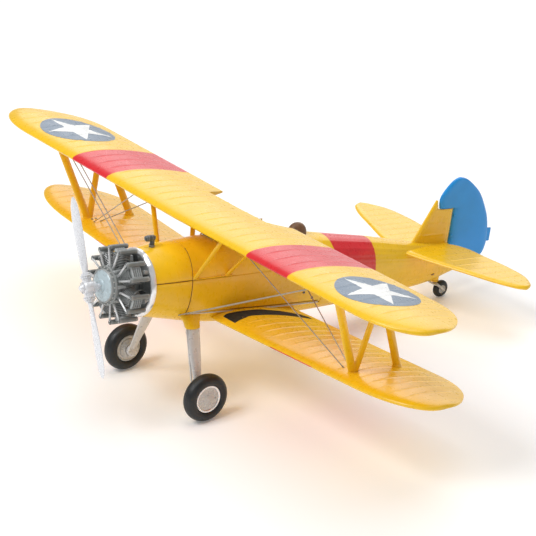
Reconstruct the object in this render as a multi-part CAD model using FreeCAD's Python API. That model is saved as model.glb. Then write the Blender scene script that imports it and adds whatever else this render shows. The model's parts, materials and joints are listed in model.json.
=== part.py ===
import FreeCAD, Part
import math
import os

# A 1:48 collector's model of a two-seat radial-engined biplane trainer, in millimetres.
# Every piece is drawn in the flight frame: x to port, y aft, z up, origin at the propeller hub on the
# thrust line. place() then tips the model onto its three wheels and centres it over the origin.

V = FreeCAD.Vector

# Distance from the propeller hub back to the middle of the standing model
HUB_AHEAD_OF_MIDDLE = 75.55

# Wings
HALF_SPAN_UPPER = 102.15
HALF_SPAN_LOWER = 97.0
UPPER_LEADING_Y = 27.26
UPPER_Z = 19.2
UPPER_CHORD = 31.1
UPPER_DIHEDRAL_DEG = 0.6
UPPER_TIP_LENGTH = 21.0
LOWER_LEADING_Y = 40.2
LOWER_Z = -11.3
LOWER_CHORD = 31.6
LOWER_DIHEDRAL_DEG = 3.7
LOWER_TIP_LENGTH = 23.8
WING_THICKNESS_RATIO = 0.115
TRAILING_EDGE_THICKNESS = 0.5
TIP_APEX_CHORD_FRACTION = 0.36
TIP_EXPONENT = 2.1
NOTCH_HALF_WIDTH_BACK = 17.5
NOTCH_HALF_WIDTH_FRONT = 14.5
NOTCH_FRONT_Y = 50.7

# Fuselage stations: y, half width, top z, bottom z
STATIONS = [
    (16.9, 10.0, 10.0, -10.0),
    (24.0, 10.0, 10.9, -11.2),
    (31.0, 9.8, 11.3, -12.5),
    (40.0, 9.6, 11.8, -13.8),
    (52.0, 9.5, 11.9, -14.6),
    (64.0, 9.3, 11.5, -14.8),
    (76.0, 8.8, 10.2, -14.6),
    (90.0, 7.9, 8.1, -14.1),
    (105.0, 6.6, 6.0, -13.4),
    (120.0, 4.9, 3.3, -12.4),
    (131.0, 3.2, 1.8, -11.3),
    (143.4, 1.1, 1.0, -8.4),
]
SECTION_POINTS = 28
SKIN = 1.2
COWL_SKIN = 1.0
COWL_FRONT_Y = 16.9
COWL_REAR_Y = 30.1
COWL_SPLIT_Z = 2.6
CENTRE_REAR_Y = 82.0
BELLY_SEAM_FRONT_Z = -8.5
BELLY_SEAM_REAR_Z = -10.5

# Cockpits: front and rear edges of each opening
FRONT_COCKPIT = (46.0, 57.5)
REAR_COCKPIT = (64.0, 74.5)
COCKPIT_HALF_WIDTH = 5.0
COCKPIT_CORNER = 2.6
COCKPIT_FLOOR_Z = 1.0
TUB_WALL = 0.6
RIM_WIDTH = 0.9
RIM_HEIGHT = 0.6
WINDSCREEN_LEAN_DEG = 14.0

# Engine and propeller
CYLINDERS = 7
CYLINDER_Y = 10.65
BARREL_RADIUS = 2.0
COOLING_FIN_RADIUS = 2.5
COOLING_FIN_COUNT = 7
COOLING_FIN_PITCH = 0.6
COOLING_FIN_THICKNESS = 0.3
BARREL_FOOT_Z = 4.8
HEAD_BOTTOM_Z = 9.6
HEAD_HALF_WIDTH = 2.3
HEAD_HALF_LENGTH = 1.7
CRANKCASE_RADIUS = 5.3
CRANKCASE_FRONT_Y = 6.5
CRANKCASE_REAR_Y = 14.3
ACCESSORY_RADIUS = 4.4
FIREWALL_RADIUS = 8.75
FIREWALL_THICKNESS = 0.9
SHAFT_POCKET_Y = 8.0
FLANGE_RADIUS = 5.8
FLANGE_THICKNESS = 0.8
COVER_RADIUS = 4.8
COVER_DEPTH = 1.8
ROCKER_DISTANCE = 10.65
ROCKER_RADIUS = 0.75
ROCKER_LENGTH = 6.5
ROCKER_SPREAD = 2.36
PUSHROD_RADIUS = 0.35
PROPELLER_RADIUS = 26.45
PROPELLER_LEAN_DEG = 29.0
SHAFT_RADIUS = 0.9
SHAFT_BORE_RADIUS = 0.95

# Struts and wires
INTERPLANE_X = 66.9
STRUT_CHORD = 2.9
STRUT_THICKNESS = 1.2
STRUT_LEAN = 2.8
WIRE_RADIUS = 0.16

# Main landing gear
WHEEL_X = 20.7
WHEEL_Y = 31.72
WHEEL_Z = -29.94
TYRE_RADIUS = 7.33
TYRE_WIDTH = 4.4
HUB_RADIUS = 4.3
AXLE_RADIUS = 0.6
AXLE_BORE_RADIUS = 0.65

# Tail wheel
TAILWHEEL_Y = 139.08
TAILWHEEL_Z = -14.55
TAILWHEEL_RADIUS = 2.85
TAILWHEEL_WIDTH = 2.0
TAILWHEEL_HUB_RADIUS = 1.35
SWIVEL_Y = 135.6
SWIVEL_RADIUS = 0.8
SWIVEL_BORE_RADIUS = 0.85

# Tail surfaces
TAILPLANE_Z = 0.75
TAILPLANE_HALF_SPAN = 41.05
TAILPLANE_THICKNESS = 1.6
FIN_THICKNESS = 1.5
RUDDER_HINGE_Y = 139.45
RUDDER_BOTTOM_Z = -4.6
RUDDER_THICKNESS = 1.5
RUDDER_NOSE_RADIUS = 0.72
RUDDER_CLEARANCE = 0.9
HORN_BOTTOM_Z = 13.2
HINGE_PIN_RADIUS = 0.3
HINGE_BORE_RADIUS = 0.35

# Display stand socket in the belly
SOCKET_Y = 54.0
SOCKET_RADIUS = 1.6
SOCKET_DEPTH = 7.0
SOCKET_WALL = 1.2


def standing_attitude():
    """Nose-up angle and hub height at which all three tyres touch the ground."""
    run = TAILWHEEL_Y - WHEEL_Y
    drop = TAILWHEEL_Z - WHEEL_Z
    reach = math.hypot(run, drop)
    nose_up = math.atan2(drop, run) + math.asin((TYRE_RADIUS - TAILWHEEL_RADIUS) / reach)
    hub_height = TYRE_RADIUS + math.sin(nose_up) * WHEEL_Y - math.cos(nose_up) * WHEEL_Z
    return math.degrees(nose_up), hub_height


NOSE_UP_DEG, HUB_HEIGHT = standing_attitude()


def place(shape):
    """Tip the model nose up onto its wheels and set it over the origin."""
    placed = shape.copy()
    placed.rotate(V(0, 0, 0), V(1, 0, 0), -NOSE_UP_DEG)
    placed.translate(V(0, -HUB_AHEAD_OF_MIDDLE, HUB_HEIGHT))
    return placed


def write(node, shape):
    """Write one piece as its own file."""
    placed = place(shape)
    placed.exportStep("parts/" + node + ".step")
    print(node, round(placed.Volume, 2), len(placed.Solids), placed.isValid())


def mirrored(shape):
    """The same piece on the other side of the model."""
    return shape.mirror(V(0, 0, 0), V(1, 0, 0))


def box(x_low, x_high, y_low, y_high, z_low, z_high):
    """A block between two corners."""
    return Part.makeBox(x_high - x_low, y_high - y_low, z_high - z_low, V(x_low, y_low, z_low))


def rod(start, end, radius):
    """A round bar between two points."""
    axis = end - start
    return Part.makeCylinder(radius, axis.Length, start, axis)


def disc(radius, y_low, y_high):
    """A round disc across the thrust line."""
    return Part.makeCylinder(radius, y_high - y_low, V(0, y_low, 0), V(0, 1, 0))


def joined(shapes):
    """Fuse pieces of one casting."""
    return shapes[0].fuse(shapes[1:]).removeSplitter()


def prism(points, direction):
    """A straight-sided outline pushed along a direction."""
    face = Part.Face(Part.makePolygon(points + [points[0]]))
    return face.extrude(direction)


def closed_curve(points):
    """A smooth closed wire through the points."""
    curve = Part.BSplineCurve()
    curve.interpolate(Points=points, PeriodicFlag=True)
    return Part.Wire([curve.toShape()])


# ---------------------------------------------------------------- fuselage

def superellipse(angle, exponent):
    """Unit superellipse point at an angle."""
    across = math.cos(angle)
    up = math.sin(angle)
    x = math.copysign(abs(across) ** (2.0 / exponent), across)
    z = math.copysign(abs(up) ** (2.0 / exponent), up)
    return x, z


def station_wire(station, inset):
    """One cross-section: round at the nose, squarer below and behind."""
    y, half_width, top, bottom = station
    squareness = min(1.0, (y - COWL_FRONT_Y) / 22.0)
    middle = (top + bottom) / 2.0
    half_height = (top - bottom) / 2.0 - inset
    points = []
    for step in range(SECTION_POINTS):
        angle = 2.0 * math.pi * (step + 0.5) / SECTION_POINTS
        exponent = 2.0 + (0.35 if angle < math.pi else 0.75) * squareness
        x, z = superellipse(angle, exponent)
        points.append(V(x * (half_width - inset), y, middle + z * half_height))
    return closed_curve(points)


def fuselage_body(inset):
    """The whole fuselage as one smooth body, taken in or let out by inset."""
    kept = [station for station in STATIONS if station[1] > 2.0 * inset]
    wires = [station_wire(station, inset) for station in kept]
    return Part.makeLoft(wires, True, False)


def between(y_low, y_high):
    """A slab of space across the whole model."""
    return box(-30, 30, y_low, y_high, -40, 40)


def below_belly_seam():
    """Space under the slanting seam of the belly casting."""
    outline = [
        V(-30, COWL_REAR_Y, BELLY_SEAM_FRONT_Z),
        V(-30, CENTRE_REAR_Y, BELLY_SEAM_REAR_Z),
        V(-30, CENTRE_REAR_Y, -40),
        V(-30, COWL_REAR_Y, -40),
    ]
    return prism(outline, V(60, 0, 0))


def cockpit_cutter(cockpit, grow):
    """Rounded rectangle pushed upwards through the deck."""
    front, back = cockpit
    low = box(-COCKPIT_HALF_WIDTH - grow, COCKPIT_HALF_WIDTH + grow, front - grow, back + grow, 3, 20)
    upright = [edge for edge in low.Edges if abs(edge.tangentAt(edge.FirstParameter).z) > 0.99]
    return low.makeFillet(COCKPIT_CORNER + grow, upright)


def tail_cut():
    """Space taken from the tail cone for the rudder and its swing."""
    return box(-8, 8, RUDDER_HINGE_Y - RUDDER_CLEARANCE, 160, RUDDER_BOTTOM_Z - 0.3, 30)


def cockpit_tub(cockpit, inside):
    """Open tub under a cockpit opening, its walls trimmed to the inside of the skin."""
    front, back = cockpit
    outer = box(-6.2, 6.2, front - 1.2, back + 1.2, COCKPIT_FLOOR_Z, 16)
    hollow = box(-6.2 + TUB_WALL, 6.2 - TUB_WALL, front - 1.2 + TUB_WALL, back + 1.2 - TUB_WALL,
                 COCKPIT_FLOOR_Z + TUB_WALL, 17)
    tub = outer.cut(hollow).common(inside)
    return joined([tub, instrument_panel(cockpit).common(inside)])


def seat(cockpit):
    """Bucket seat: pan, back and two low sides."""
    back = cockpit[1] + 0.4
    floor = COCKPIT_FLOOR_Z + TUB_WALL
    pan = box(-3.6, 3.6, back - 6.4, back, floor, floor + 1.6)
    rest = box(-3.6, 3.6, back - 1.0, back, floor + 1.6, floor + 6.4)
    sides = [box(x, x + 0.6, back - 5.0, back - 1.0, floor + 1.6, floor + 2.6) for x in (-3.6, 3.0)]
    return joined([pan, rest] + sides)


def instrument_panel(cockpit):
    """Flat panel with round dials."""
    y = cockpit[0] - 0.6
    panel = box(-5.6, 5.6, y, y + 0.6, 5.0, 9.2)
    dials = []
    for x, z in [(-3.2, 7.4), (-1.1, 7.4), (1.1, 7.4), (3.2, 7.4), (-2.1, 5.9), (0.0, 5.9), (2.1, 5.9)]:
        dials.append(Part.makeCylinder(0.62, 0.2, V(x, y + 0.6, z), V(0, 1, 0)))
    return joined([panel] + dials)


def windscreen(front_y, height, depth):
    """Clear curved pane leaning aft in front of a cockpit."""
    pane = Part.makeCone(5.4, 4.3, height, V(0, 0, 0), V(0, 0, 1))
    pane = pane.cut(Part.makeCone(4.95, 3.85, height, V(0, 0, 0), V(0, 0, 1)))
    pane = pane.cut(box(-6, 6, depth - 5.4, 6, -1, height + 1))
    pane.rotate(V(0, 0, 0), V(1, 0, 0), -WINDSCREEN_LEAN_DEG)
    pane.translate(V(0, front_y + 5.4, 8.0))
    return pane


def headrest():
    """Rounded pad for the rear pilot's head, leaning forward over the back of the cockpit."""
    dome = Part.makeSphere(1.0, V(0, 0, 0))
    stretch = FreeCAD.Matrix(2.4, 0, 0, 0, 0, 3.3, 0, 0, 0, 0, 3.35, 0, 0, 0, 0, 1)
    dome = dome.transformGeometry(stretch)
    dome.translate(V(0, 74.9, 10.1))
    return dome.cut(box(-6, 6, 60, REAR_COCKPIT[1] + 1.0, 0, 9.8))


def write_fuselage(outer, inside, tailplane):
    """Nose cowls, deck, sides, belly and tail cone."""
    cowl = outer.cut(fuselage_body(COWL_SKIN)).common(between(COWL_FRONT_Y, COWL_REAR_Y))
    above = box(-30, 30, 0, 100, COWL_SPLIT_Z, 40)
    write("nose_cowl_upper", cowl.common(above))
    write("nose_cowl_lower", cowl.cut(above))
    shell = outer.cut(inside)
    centre = shell.common(between(COWL_REAR_Y, CENTRE_REAR_Y)).cut(below_belly_seam())
    deck = centre.common(above)
    for cockpit in (FRONT_COCKPIT, REAR_COCKPIT):
        deck = deck.cut(cockpit_cutter(cockpit, 0.0))
    write("fuselage_deck", deck)
    sides = centre.cut(above)
    write("fuselage_side_left", sides.common(box(0, 30, 0, 100, -40, 40)))
    write("fuselage_side_right", sides.common(box(-30, 0, 0, 100, -40, 40)))
    low = -16.0
    boss = rod(V(0, SOCKET_Y, low), V(0, SOCKET_Y, low + 1.4 + SOCKET_DEPTH + SOCKET_WALL),
               SOCKET_RADIUS + SOCKET_WALL)
    bore = rod(V(0, SOCKET_Y, low), V(0, SOCKET_Y, low + 1.4 + SOCKET_DEPTH), SOCKET_RADIUS)
    belly = shell.common(below_belly_seam())
    write("belly_pan", joined([belly, boss.common(outer)]).cut(bore))
    tail = outer.cut(fuselage_body(SKIN)).common(between(CENTRE_REAR_Y, 150))
    bulkhead = inside.common(between(CENTRE_REAR_Y, CENTRE_REAR_Y + SKIN))
    tail = joined([tail, bulkhead]).cut(tailplane).cut(tail_cut())
    tail = tail.cut(swivel_housing()).cut(hinge_pin())
    write("fuselage_tail", tail)


def write_cockpits(outer, inside):
    """Tubs with their instrument panels, seats, rims, windscreens and headrest."""
    raised = fuselage_body(-RIM_HEIGHT)
    skin_only = raised.cut(outer)
    for name, cockpit in (("front", FRONT_COCKPIT), ("rear", REAR_COCKPIT)):
        write("cockpit_tub_" + name, cockpit_tub(cockpit, inside))
        write("seat_" + name, seat(cockpit))
        ring = cockpit_cutter(cockpit, RIM_WIDTH).cut(cockpit_cutter(cockpit, 0.0))
        rim = skin_only.common(ring)
        write("cockpit_rim_" + name, rim)
    write("windscreen_front", windscreen(FRONT_COCKPIT[0] - 7.9, 8.4, 6.2).cut(raised))
    write("windscreen_rear", windscreen(REAR_COCKPIT[0] - 5.9, 6.2, 4.2).cut(raised))
    write("headrest", headrest().cut(outer).cut(rim))


# ---------------------------------------------------------------- engine

def turned(profile):
    """Revolve a closed outline of (radius, y) points about the thrust line."""
    points = [V(radius, y, 0) for radius, y in profile]
    face = Part.Face(Part.makePolygon(points + [points[0]]))
    return face.revolve(V(0, 0, 0), V(0, 1, 0), 360)


def crankcase():
    """Round case with a front flange, a narrower accessory section and the firewall plate behind."""
    flange_y = CRANKCASE_FRONT_Y - FLANGE_THICKNESS
    firewall_y = COWL_FRONT_Y + FIREWALL_THICKNESS
    return turned([
        (SHAFT_BORE_RADIUS, flange_y),
        (FLANGE_RADIUS, flange_y),
        (FLANGE_RADIUS, CRANKCASE_FRONT_Y),
        (CRANKCASE_RADIUS, CRANKCASE_FRONT_Y),
        (CRANKCASE_RADIUS, CRANKCASE_REAR_Y),
        (ACCESSORY_RADIUS, CRANKCASE_REAR_Y + 1.0),
        (ACCESSORY_RADIUS, COWL_FRONT_Y),
        (FIREWALL_RADIUS, COWL_FRONT_Y),
        (FIREWALL_RADIUS, firewall_y),
        (0.0, firewall_y),
        (0.0, SHAFT_POCKET_Y),
        (SHAFT_BORE_RADIUS, SHAFT_POCKET_Y),
    ])


def front_cover():
    """Domed gear cover with a raised nose ring around the shaft."""
    back = CRANKCASE_FRONT_Y - FLANGE_THICKNESS
    front = back - COVER_DEPTH
    return turned([
        (SHAFT_BORE_RADIUS, front),
        (2.0, front),
        (2.2, front + 0.5),
        (4.0, front + 0.8),
        (COVER_RADIUS, front + 1.3),
        (COVER_RADIUS, back),
        (SHAFT_BORE_RADIUS, back),
    ])


def cylinder_at_top():
    """One finned barrel with its head and two rocker boxes, standing at twelve o'clock."""
    up = V(0, 0, 1)
    foot = V(0, CYLINDER_Y, BARREL_FOOT_Z)
    pieces = [Part.makeCylinder(BARREL_RADIUS, HEAD_BOTTOM_Z - BARREL_FOOT_Z, foot, up)]
    for number in range(COOLING_FIN_COUNT):
        z = HEAD_BOTTOM_Z - COOLING_FIN_THICKNESS - COOLING_FIN_PITCH * number
        pieces.append(Part.makeCylinder(COOLING_FIN_RADIUS, COOLING_FIN_THICKNESS, V(0, CYLINDER_Y, z), up))
    pieces.append(box(-HEAD_HALF_WIDTH, HEAD_HALF_WIDTH, CYLINDER_Y - HEAD_HALF_LENGTH,
                      CYLINDER_Y + HEAD_HALF_LENGTH, HEAD_BOTTOM_Z, ROCKER_DISTANCE))
    for x in (-ROCKER_SPREAD, ROCKER_SPREAD):
        start = V(x, CYLINDER_Y - ROCKER_LENGTH / 2.0, ROCKER_DISTANCE)
        pieces.append(Part.makeCylinder(ROCKER_RADIUS, ROCKER_LENGTH, start, V(0, 1, 0)))
    return joined(pieces)


def pushrods_at_top():
    """The pair of pushrod tubes in front of a cylinder."""
    y = CYLINDER_Y - COOLING_FIN_RADIUS - PUSHROD_RADIUS - 0.2
    return [rod(V(0.7 * side, y, BARREL_FOOT_Z), V(ROCKER_SPREAD * side, y, ROCKER_DISTANCE), PUSHROD_RADIUS)
            for side in (-1, 1)]


def write_engine():
    """Crankcase, cover, seven cylinders, pushrod tubes, cowl ring and breather."""
    case = crankcase()
    write("crankcase", case)
    write("crankcase_cover", front_cover())
    rods = []
    for number in range(CYLINDERS):
        turn = 360.0 / CYLINDERS * number
        cylinder = cylinder_at_top().cut(case)
        pair = [tube.cut(case).cut(cylinder) for tube in pushrods_at_top()]
        for shape in [cylinder] + pair:
            shape.rotate(V(0, 0, 0), V(0, 1, 0), turn)
        write("cylinder_" + str(number + 1), cylinder)
        rods += pair
    write("pushrod_tubes", Part.makeCompound(rods))
    ring = turned([(8.6, COWL_FRONT_Y), (8.8, 15.8), (9.4, 15.3), (10.1, 15.9), (10.25, COWL_FRONT_Y)])
    write("cowl_ring", ring)
    neck = rod(V(0, 20.8, 9.5), V(0, 20.8, 13.0), 0.75)
    head = rod(V(0, 18.2, 13.2), V(0, 21.4, 13.2), 0.9)
    write("breather_pipe", joined([neck, head]).cut(outer))


# ---------------------------------------------------------------- propeller

def blade_section(distance, chord, thickness, pitch_deg):
    """Lens-shaped blade section at a distance out along +z."""
    points = []
    for step in range(16):
        angle = 2.0 * math.pi * step / 16
        points.append(V(chord / 2.0 * math.cos(angle), thickness / 2.0 * math.sin(angle), distance))
    wire = closed_curve(points)
    wire.rotate(V(0, 0, distance), V(0, 0, 1), pitch_deg)
    return wire


def blade_at_top():
    """One twisted blade reaching out along +z, with a round shank."""
    sections = [
        (2.4, 1.7, 1.7, 40.0),
        (4.6, 1.7, 1.6, 40.0),
        (8.0, 3.0, 1.1, 36.0),
        (13.0, 3.9, 0.85, 29.0),
        (19.0, 3.7, 0.65, 23.0),
        (23.5, 2.9, 0.5, 19.0),
        (25.6, 1.8, 0.4, 17.0),
        (PROPELLER_RADIUS, 0.7, 0.3, 16.0),
    ]
    return Part.makeLoft([blade_section(*section) for section in sections], True, False)


def write_propeller():
    """Hub with shaft and clamp rings, two blades and the dome nut."""
    hub = [rod(V(0, 0, -4.2), V(0, 0, 4.2), 1.35), disc(1.9, -1.7, 2.2), disc(SHAFT_RADIUS, 2.0, 7.6)]
    for z in (-3.6, 2.6):
        hub.append(rod(V(0, 0, z), V(0, 0, z + 1.0), 1.7))
    lean = -PROPELLER_LEAN_DEG
    hub = joined(hub)
    upper = blade_at_top().cut(hub)
    lower = blade_at_top()
    lower.rotate(V(0, 0, 0), V(0, 1, 0), 180)
    lower = lower.cut(hub)
    nut = turned([(0.0, -3.0), (0.6, -2.8), (1.0, -2.3), (1.1, -1.7), (0.0, -1.7)])
    for node, shape in (("propeller_hub", hub), ("propeller_blade_1", upper),
                        ("propeller_blade_2", lower), ("propeller_nut", nut)):
        shape.rotate(V(0, 0, 0), V(0, 1, 0), lean)
        write(node, shape)


# ---------------------------------------------------------------- wings

def aerofoil(x, z, leading_y, chord, thickness, drop):
    """Cambered section across x, blunt at the trailing edge."""
    points = []
    steps = 12
    for step in range(-steps, steps + 1):
        along = (1.0 - math.cos(math.pi * abs(step) / steps)) / 2.0
        shape = 0.2969 * math.sqrt(along) - 0.1260 * along - 0.3516 * along ** 2
        shape += 0.2843 * along ** 3 - 0.1036 * along ** 4
        half = 5.0 * shape * thickness + along * min(TRAILING_EDGE_THICKNESS, 0.3 * thickness) / 2.0
        camber = 0.08 * chord * along * (1.0 - along)
        side = 1.0 if step < 0 else -1.0
        points.append(V(x, leading_y + chord * along, z - drop * along + camber + side * half))
    curve = Part.BSplineCurve()
    curve.interpolate(Points=points)
    return Part.Wire([curve.toShape(), Part.makeLine(points[-1], points[0])])


def half_wing(half_span, tip_length, leading_y, root_z, chord, dihedral_deg, root_x):
    """One side of a wing with a rounded tip."""
    rise = math.tan(math.radians(dihedral_deg))
    apex = leading_y + TIP_APEX_CHORD_FRACTION * chord
    stations = [(root_x, 1.0), (half_span - tip_length, 1.0)]
    for part in (0.25, 0.45, 0.62, 0.76, 0.87, 0.94, 0.98):
        width = (1.0 - part ** TIP_EXPONENT) ** (1.0 / TIP_EXPONENT)
        stations.append((half_span - tip_length * (1.0 - part), width))
    stations.append((half_span, 0.1))
    wires = []
    for x, width in stations:
        thickness = WING_THICKNESS_RATIO * chord * width ** 0.7
        wires.append(aerofoil(x, root_z + x * rise, apex - width * (apex - leading_y), chord * width,
                              thickness, 0.8 * width))
    return Part.makeLoft(wires, True, True)


def upper_wing():
    """Full-span upper wing with the cut-out above the front cockpit."""
    port = half_wing(HALF_SPAN_UPPER, UPPER_TIP_LENGTH, UPPER_LEADING_Y, UPPER_Z, UPPER_CHORD,
                     UPPER_DIHEDRAL_DEG, 0.0)
    back = UPPER_LEADING_Y + UPPER_CHORD + 2.0
    corners = [
        V(-NOTCH_HALF_WIDTH_BACK - 1.0, back, 10),
        V(-NOTCH_HALF_WIDTH_FRONT, NOTCH_FRONT_Y, 10),
        V(NOTCH_HALF_WIDTH_FRONT, NOTCH_FRONT_Y, 10),
        V(NOTCH_HALF_WIDTH_BACK + 1.0, back, 10),
    ]
    return joined([port, mirrored(port)]).cut(prism(corners, V(0, 0, 20)))


def lower_wing(outer):
    """Port lower wing, trimmed to the fuselage side."""
    wing = half_wing(HALF_SPAN_LOWER, LOWER_TIP_LENGTH, LOWER_LEADING_Y, LOWER_Z, LOWER_CHORD,
                     LOWER_DIHEDRAL_DEG, 2.0)
    return wing.cut(outer).common(box(5.0, 120, 0, 100, -40, 40))


def strut(start, end, chord, thickness):
    """Streamlined bar between two points, its long section lying fore and aft."""
    wires = []
    for point in (start, end):
        ellipse = Part.Ellipse(point, chord / 2.0, thickness / 2.0)
        wire = Part.Wire([ellipse.toShape()])
        wire.rotate(point, V(0, 0, 1), 90)
        wires.append(wire)
    return Part.makeLoft(wires, True, True)


def upper_z(x):
    """Height of the upper wing's chord line."""
    return UPPER_Z + x * math.tan(math.radians(UPPER_DIHEDRAL_DEG)) - 0.3


def lower_z(x):
    """Height of the lower wing's chord line."""
    return LOWER_Z + x * math.tan(math.radians(LOWER_DIHEDRAL_DEG)) + 0.3


def strut_points():
    """Where the struts meet the wings: front and rear spar on each wing."""
    x = INTERPLANE_X
    lower_front = V(x, LOWER_LEADING_Y + 0.17 * LOWER_CHORD, lower_z(x))
    lower_rear = V(x, LOWER_LEADING_Y + 0.69 * LOWER_CHORD, lower_z(x))
    upper_front = V(x + STRUT_LEAN, UPPER_LEADING_Y + 0.17 * UPPER_CHORD, upper_z(x))
    upper_rear = V(x + STRUT_LEAN, UPPER_LEADING_Y + 0.69 * UPPER_CHORD, upper_z(x))
    return lower_front, lower_rear, upper_front, upper_rear


def interplane_struts(upper, lower):
    """The N-shaped set of three struts on the port side."""
    lower_front, lower_rear, upper_front, upper_rear = strut_points()
    front = strut(lower_front, upper_front, STRUT_CHORD, STRUT_THICKNESS)
    rear = strut(lower_rear, upper_rear, STRUT_CHORD, STRUT_THICKNESS)
    diagonal = strut(lower_front, upper_rear, STRUT_CHORD * 0.8, STRUT_THICKNESS * 0.9)
    front = front.cut(upper).cut(lower)
    rear = rear.cut(upper).cut(lower)
    diagonal = diagonal.cut(upper).cut(lower).cut(front).cut(rear)
    return Part.makeCompound([front, diagonal, rear])


def cabane_struts(upper, outer):
    """Front and rear port struts from the fuselage side up to the wing centre section."""
    tops = [V(18.2, UPPER_LEADING_Y + along * UPPER_CHORD, 18.5) for along in (0.17, 0.68)]
    feet = [V(8.4, 30.9, 1.6), V(8.4, 42.4, 1.6)]
    return [strut(foot, top, 1.7, 1.0).cut(upper).cut(outer) for foot, top in zip(feet, tops)]


def rigging(upper, lower, outer, struts):
    """Landing and flying wires of the port side."""
    lower_x = INTERPLANE_X - 1.6
    upper_x = INTERPLANE_X - 4.7
    lower_spar_y = LOWER_LEADING_Y + 0.17 * LOWER_CHORD
    ends = [
        (V(25.3, 32.6, 18.3), V(lower_x, lower_spar_y, lower_z(lower_x))),
        (V(24.5, 48.4, 18.3), V(lower_x, lower_spar_y + 1.4, lower_z(lower_x))),
        (V(7.5, 28.2, -8.74), V(upper_x, 31.0, upper_z(upper_x))),
        (V(7.5, 30.0, -8.85), V(upper_x, 32.8, upper_z(upper_x))),
    ]
    wires = []
    for start, end in ends:
        wire = rod(start, end, WIRE_RADIUS).cut(upper).cut(lower).cut(outer)
        for one in struts:
            wire = wire.cut(one)
        wires.append(wire)
    return wires


def write_wings(outer, lower):
    """Wings, struts and wires."""
    upper = upper_wing()
    write("upper_wing", upper)
    write("lower_wing_left", lower)
    write("lower_wing_right", mirrored(lower))
    struts = interplane_struts(upper, lower)
    cabanes = cabane_struts(upper, outer)
    write("interplane_struts_left", struts)
    write("interplane_struts_right", mirrored(struts))
    for node, shape in zip(("front", "rear"), cabanes):
        write("cabane_" + node + "_left", shape)
        write("cabane_" + node + "_right", mirrored(shape))
    port = rigging(upper, lower, outer, [struts] + cabanes)
    write("rigging_wires", Part.makeCompound(port + [mirrored(wire) for wire in port]))


# ---------------------------------------------------------------- tail

def tailplane():
    """Full-span horizontal tail with a cut-out for the rudder."""
    port = [
        V(0, 116.3, 0),
        V(12.0, 120.3, 0),
        V(24.0, 125.1, 0),
        V(33.0, 128.7, 0),
        V(39.2, 132.3, 0),
        V(TAILPLANE_HALF_SPAN, 135.8, 0),
        V(38.9, 139.2, 0),
        V(33.5, 142.1, 0),
        V(25.0, 143.0, 0),
        V(14.0, 142.3, 0),
        V(7.6, 141.9, 0),
        V(4.0, 140.6, 0),
        V(1.7, RUDDER_HINGE_Y - RUDDER_CLEARANCE, 0),
    ]
    starboard = [V(-point.x, point.y, 0) for point in reversed(port[1:])]
    edge = Part.BSplineCurve()
    edge.interpolate(Points=port[1:])
    other = Part.BSplineCurve()
    other.interpolate(Points=starboard)
    wire = Part.Wire([
        Part.makeLine(port[0], port[1]),
        edge.toShape(),
        Part.makeLine(port[-1], starboard[0]),
        other.toShape(),
        Part.makeLine(starboard[-1], port[0]),
    ])
    plate = Part.Face(wire).extrude(V(0, 0, TAILPLANE_THICKNESS))
    plate.translate(V(0, 0, TAILPLANE_Z - TAILPLANE_THICKNESS / 2.0))
    return plate


def fin(outer, plane):
    """Fixed fin with the narrow strip that runs up ahead of the rudder horn."""
    half = FIN_THICKNESS / 2.0
    back = RUDDER_HINGE_Y - RUDDER_CLEARANCE
    outline = [
        V(-half, 121.2, -0.5),
        V(-half, 130.7, 15.9),
        V(-half, 131.5, 16.1),
        V(-half, 132.3, HORN_BOTTOM_Z - 0.25),
        V(-half, back, HORN_BOTTOM_Z - 0.25),
        V(-half, back, -0.5),
    ]
    return prism(outline, V(FIN_THICKNESS, 0, 0)).cut(outer).cut(plane)


def hinge_pin():
    """Vertical pin that the rudder turns on."""
    return rod(V(0, RUDDER_HINGE_Y, RUDDER_BOTTOM_Z - 2.4), V(0, RUDDER_HINGE_Y, 8.0), HINGE_PIN_RADIUS)


def rudder():
    """Rounded rudder with a balance horn reaching forward over the fin."""
    half = RUDDER_THICKNESS / 2.0
    curve = Part.BSplineCurve()
    curve.interpolate(Points=[
        V(-half, 132.7, HORN_BOTTOM_Z),
        V(-half, 132.3, 16.6),
        V(-half, 134.3, 19.7),
        V(-half, 136.8, 22.2),
        V(-half, 139.9, 23.2),
        V(-half, 143.3, 22.1),
        V(-half, 149.4, 17.3),
        V(-half, 154.3, 9.0),
        V(-half, 155.9, 1.0),
        V(-half, 154.6, -4.0),
        V(-half, 152.5, RUDDER_BOTTOM_Z),
    ])
    wire = Part.Wire([
        curve.toShape(),
        Part.makeLine(V(-half, 152.5, RUDDER_BOTTOM_Z), V(-half, RUDDER_HINGE_Y, RUDDER_BOTTOM_Z)),
        Part.makeLine(V(-half, RUDDER_HINGE_Y, RUDDER_BOTTOM_Z), V(-half, RUDDER_HINGE_Y, HORN_BOTTOM_Z)),
        Part.makeLine(V(-half, RUDDER_HINGE_Y, HORN_BOTTOM_Z), V(-half, 132.7, HORN_BOTTOM_Z)),
    ])
    blade = Part.Face(wire).extrude(V(RUDDER_THICKNESS, 0, 0))
    nose = rod(V(0, RUDDER_HINGE_Y, RUDDER_BOTTOM_Z), V(0, RUDDER_HINGE_Y, HORN_BOTTOM_Z), RUDDER_NOSE_RADIUS)
    bore = rod(V(0, RUDDER_HINGE_Y, RUDDER_BOTTOM_Z - 1.0), V(0, RUDDER_HINGE_Y, 8.3), HINGE_BORE_RADIUS)
    return joined([blade, nose]).cut(bore)


def rudder_tab(blade):
    """Small trim tab on the rudder's trailing edge."""
    outline = [V(-0.3, 153.0, 4.9), V(-0.3, 156.6, 4.9), V(-0.3, 157.3, 4.3), V(-0.3, 157.3, 0.2), V(-0.3, 153.0, 0.2)]
    return prism(outline, V(0.6, 0, 0)).cut(blade)


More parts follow.
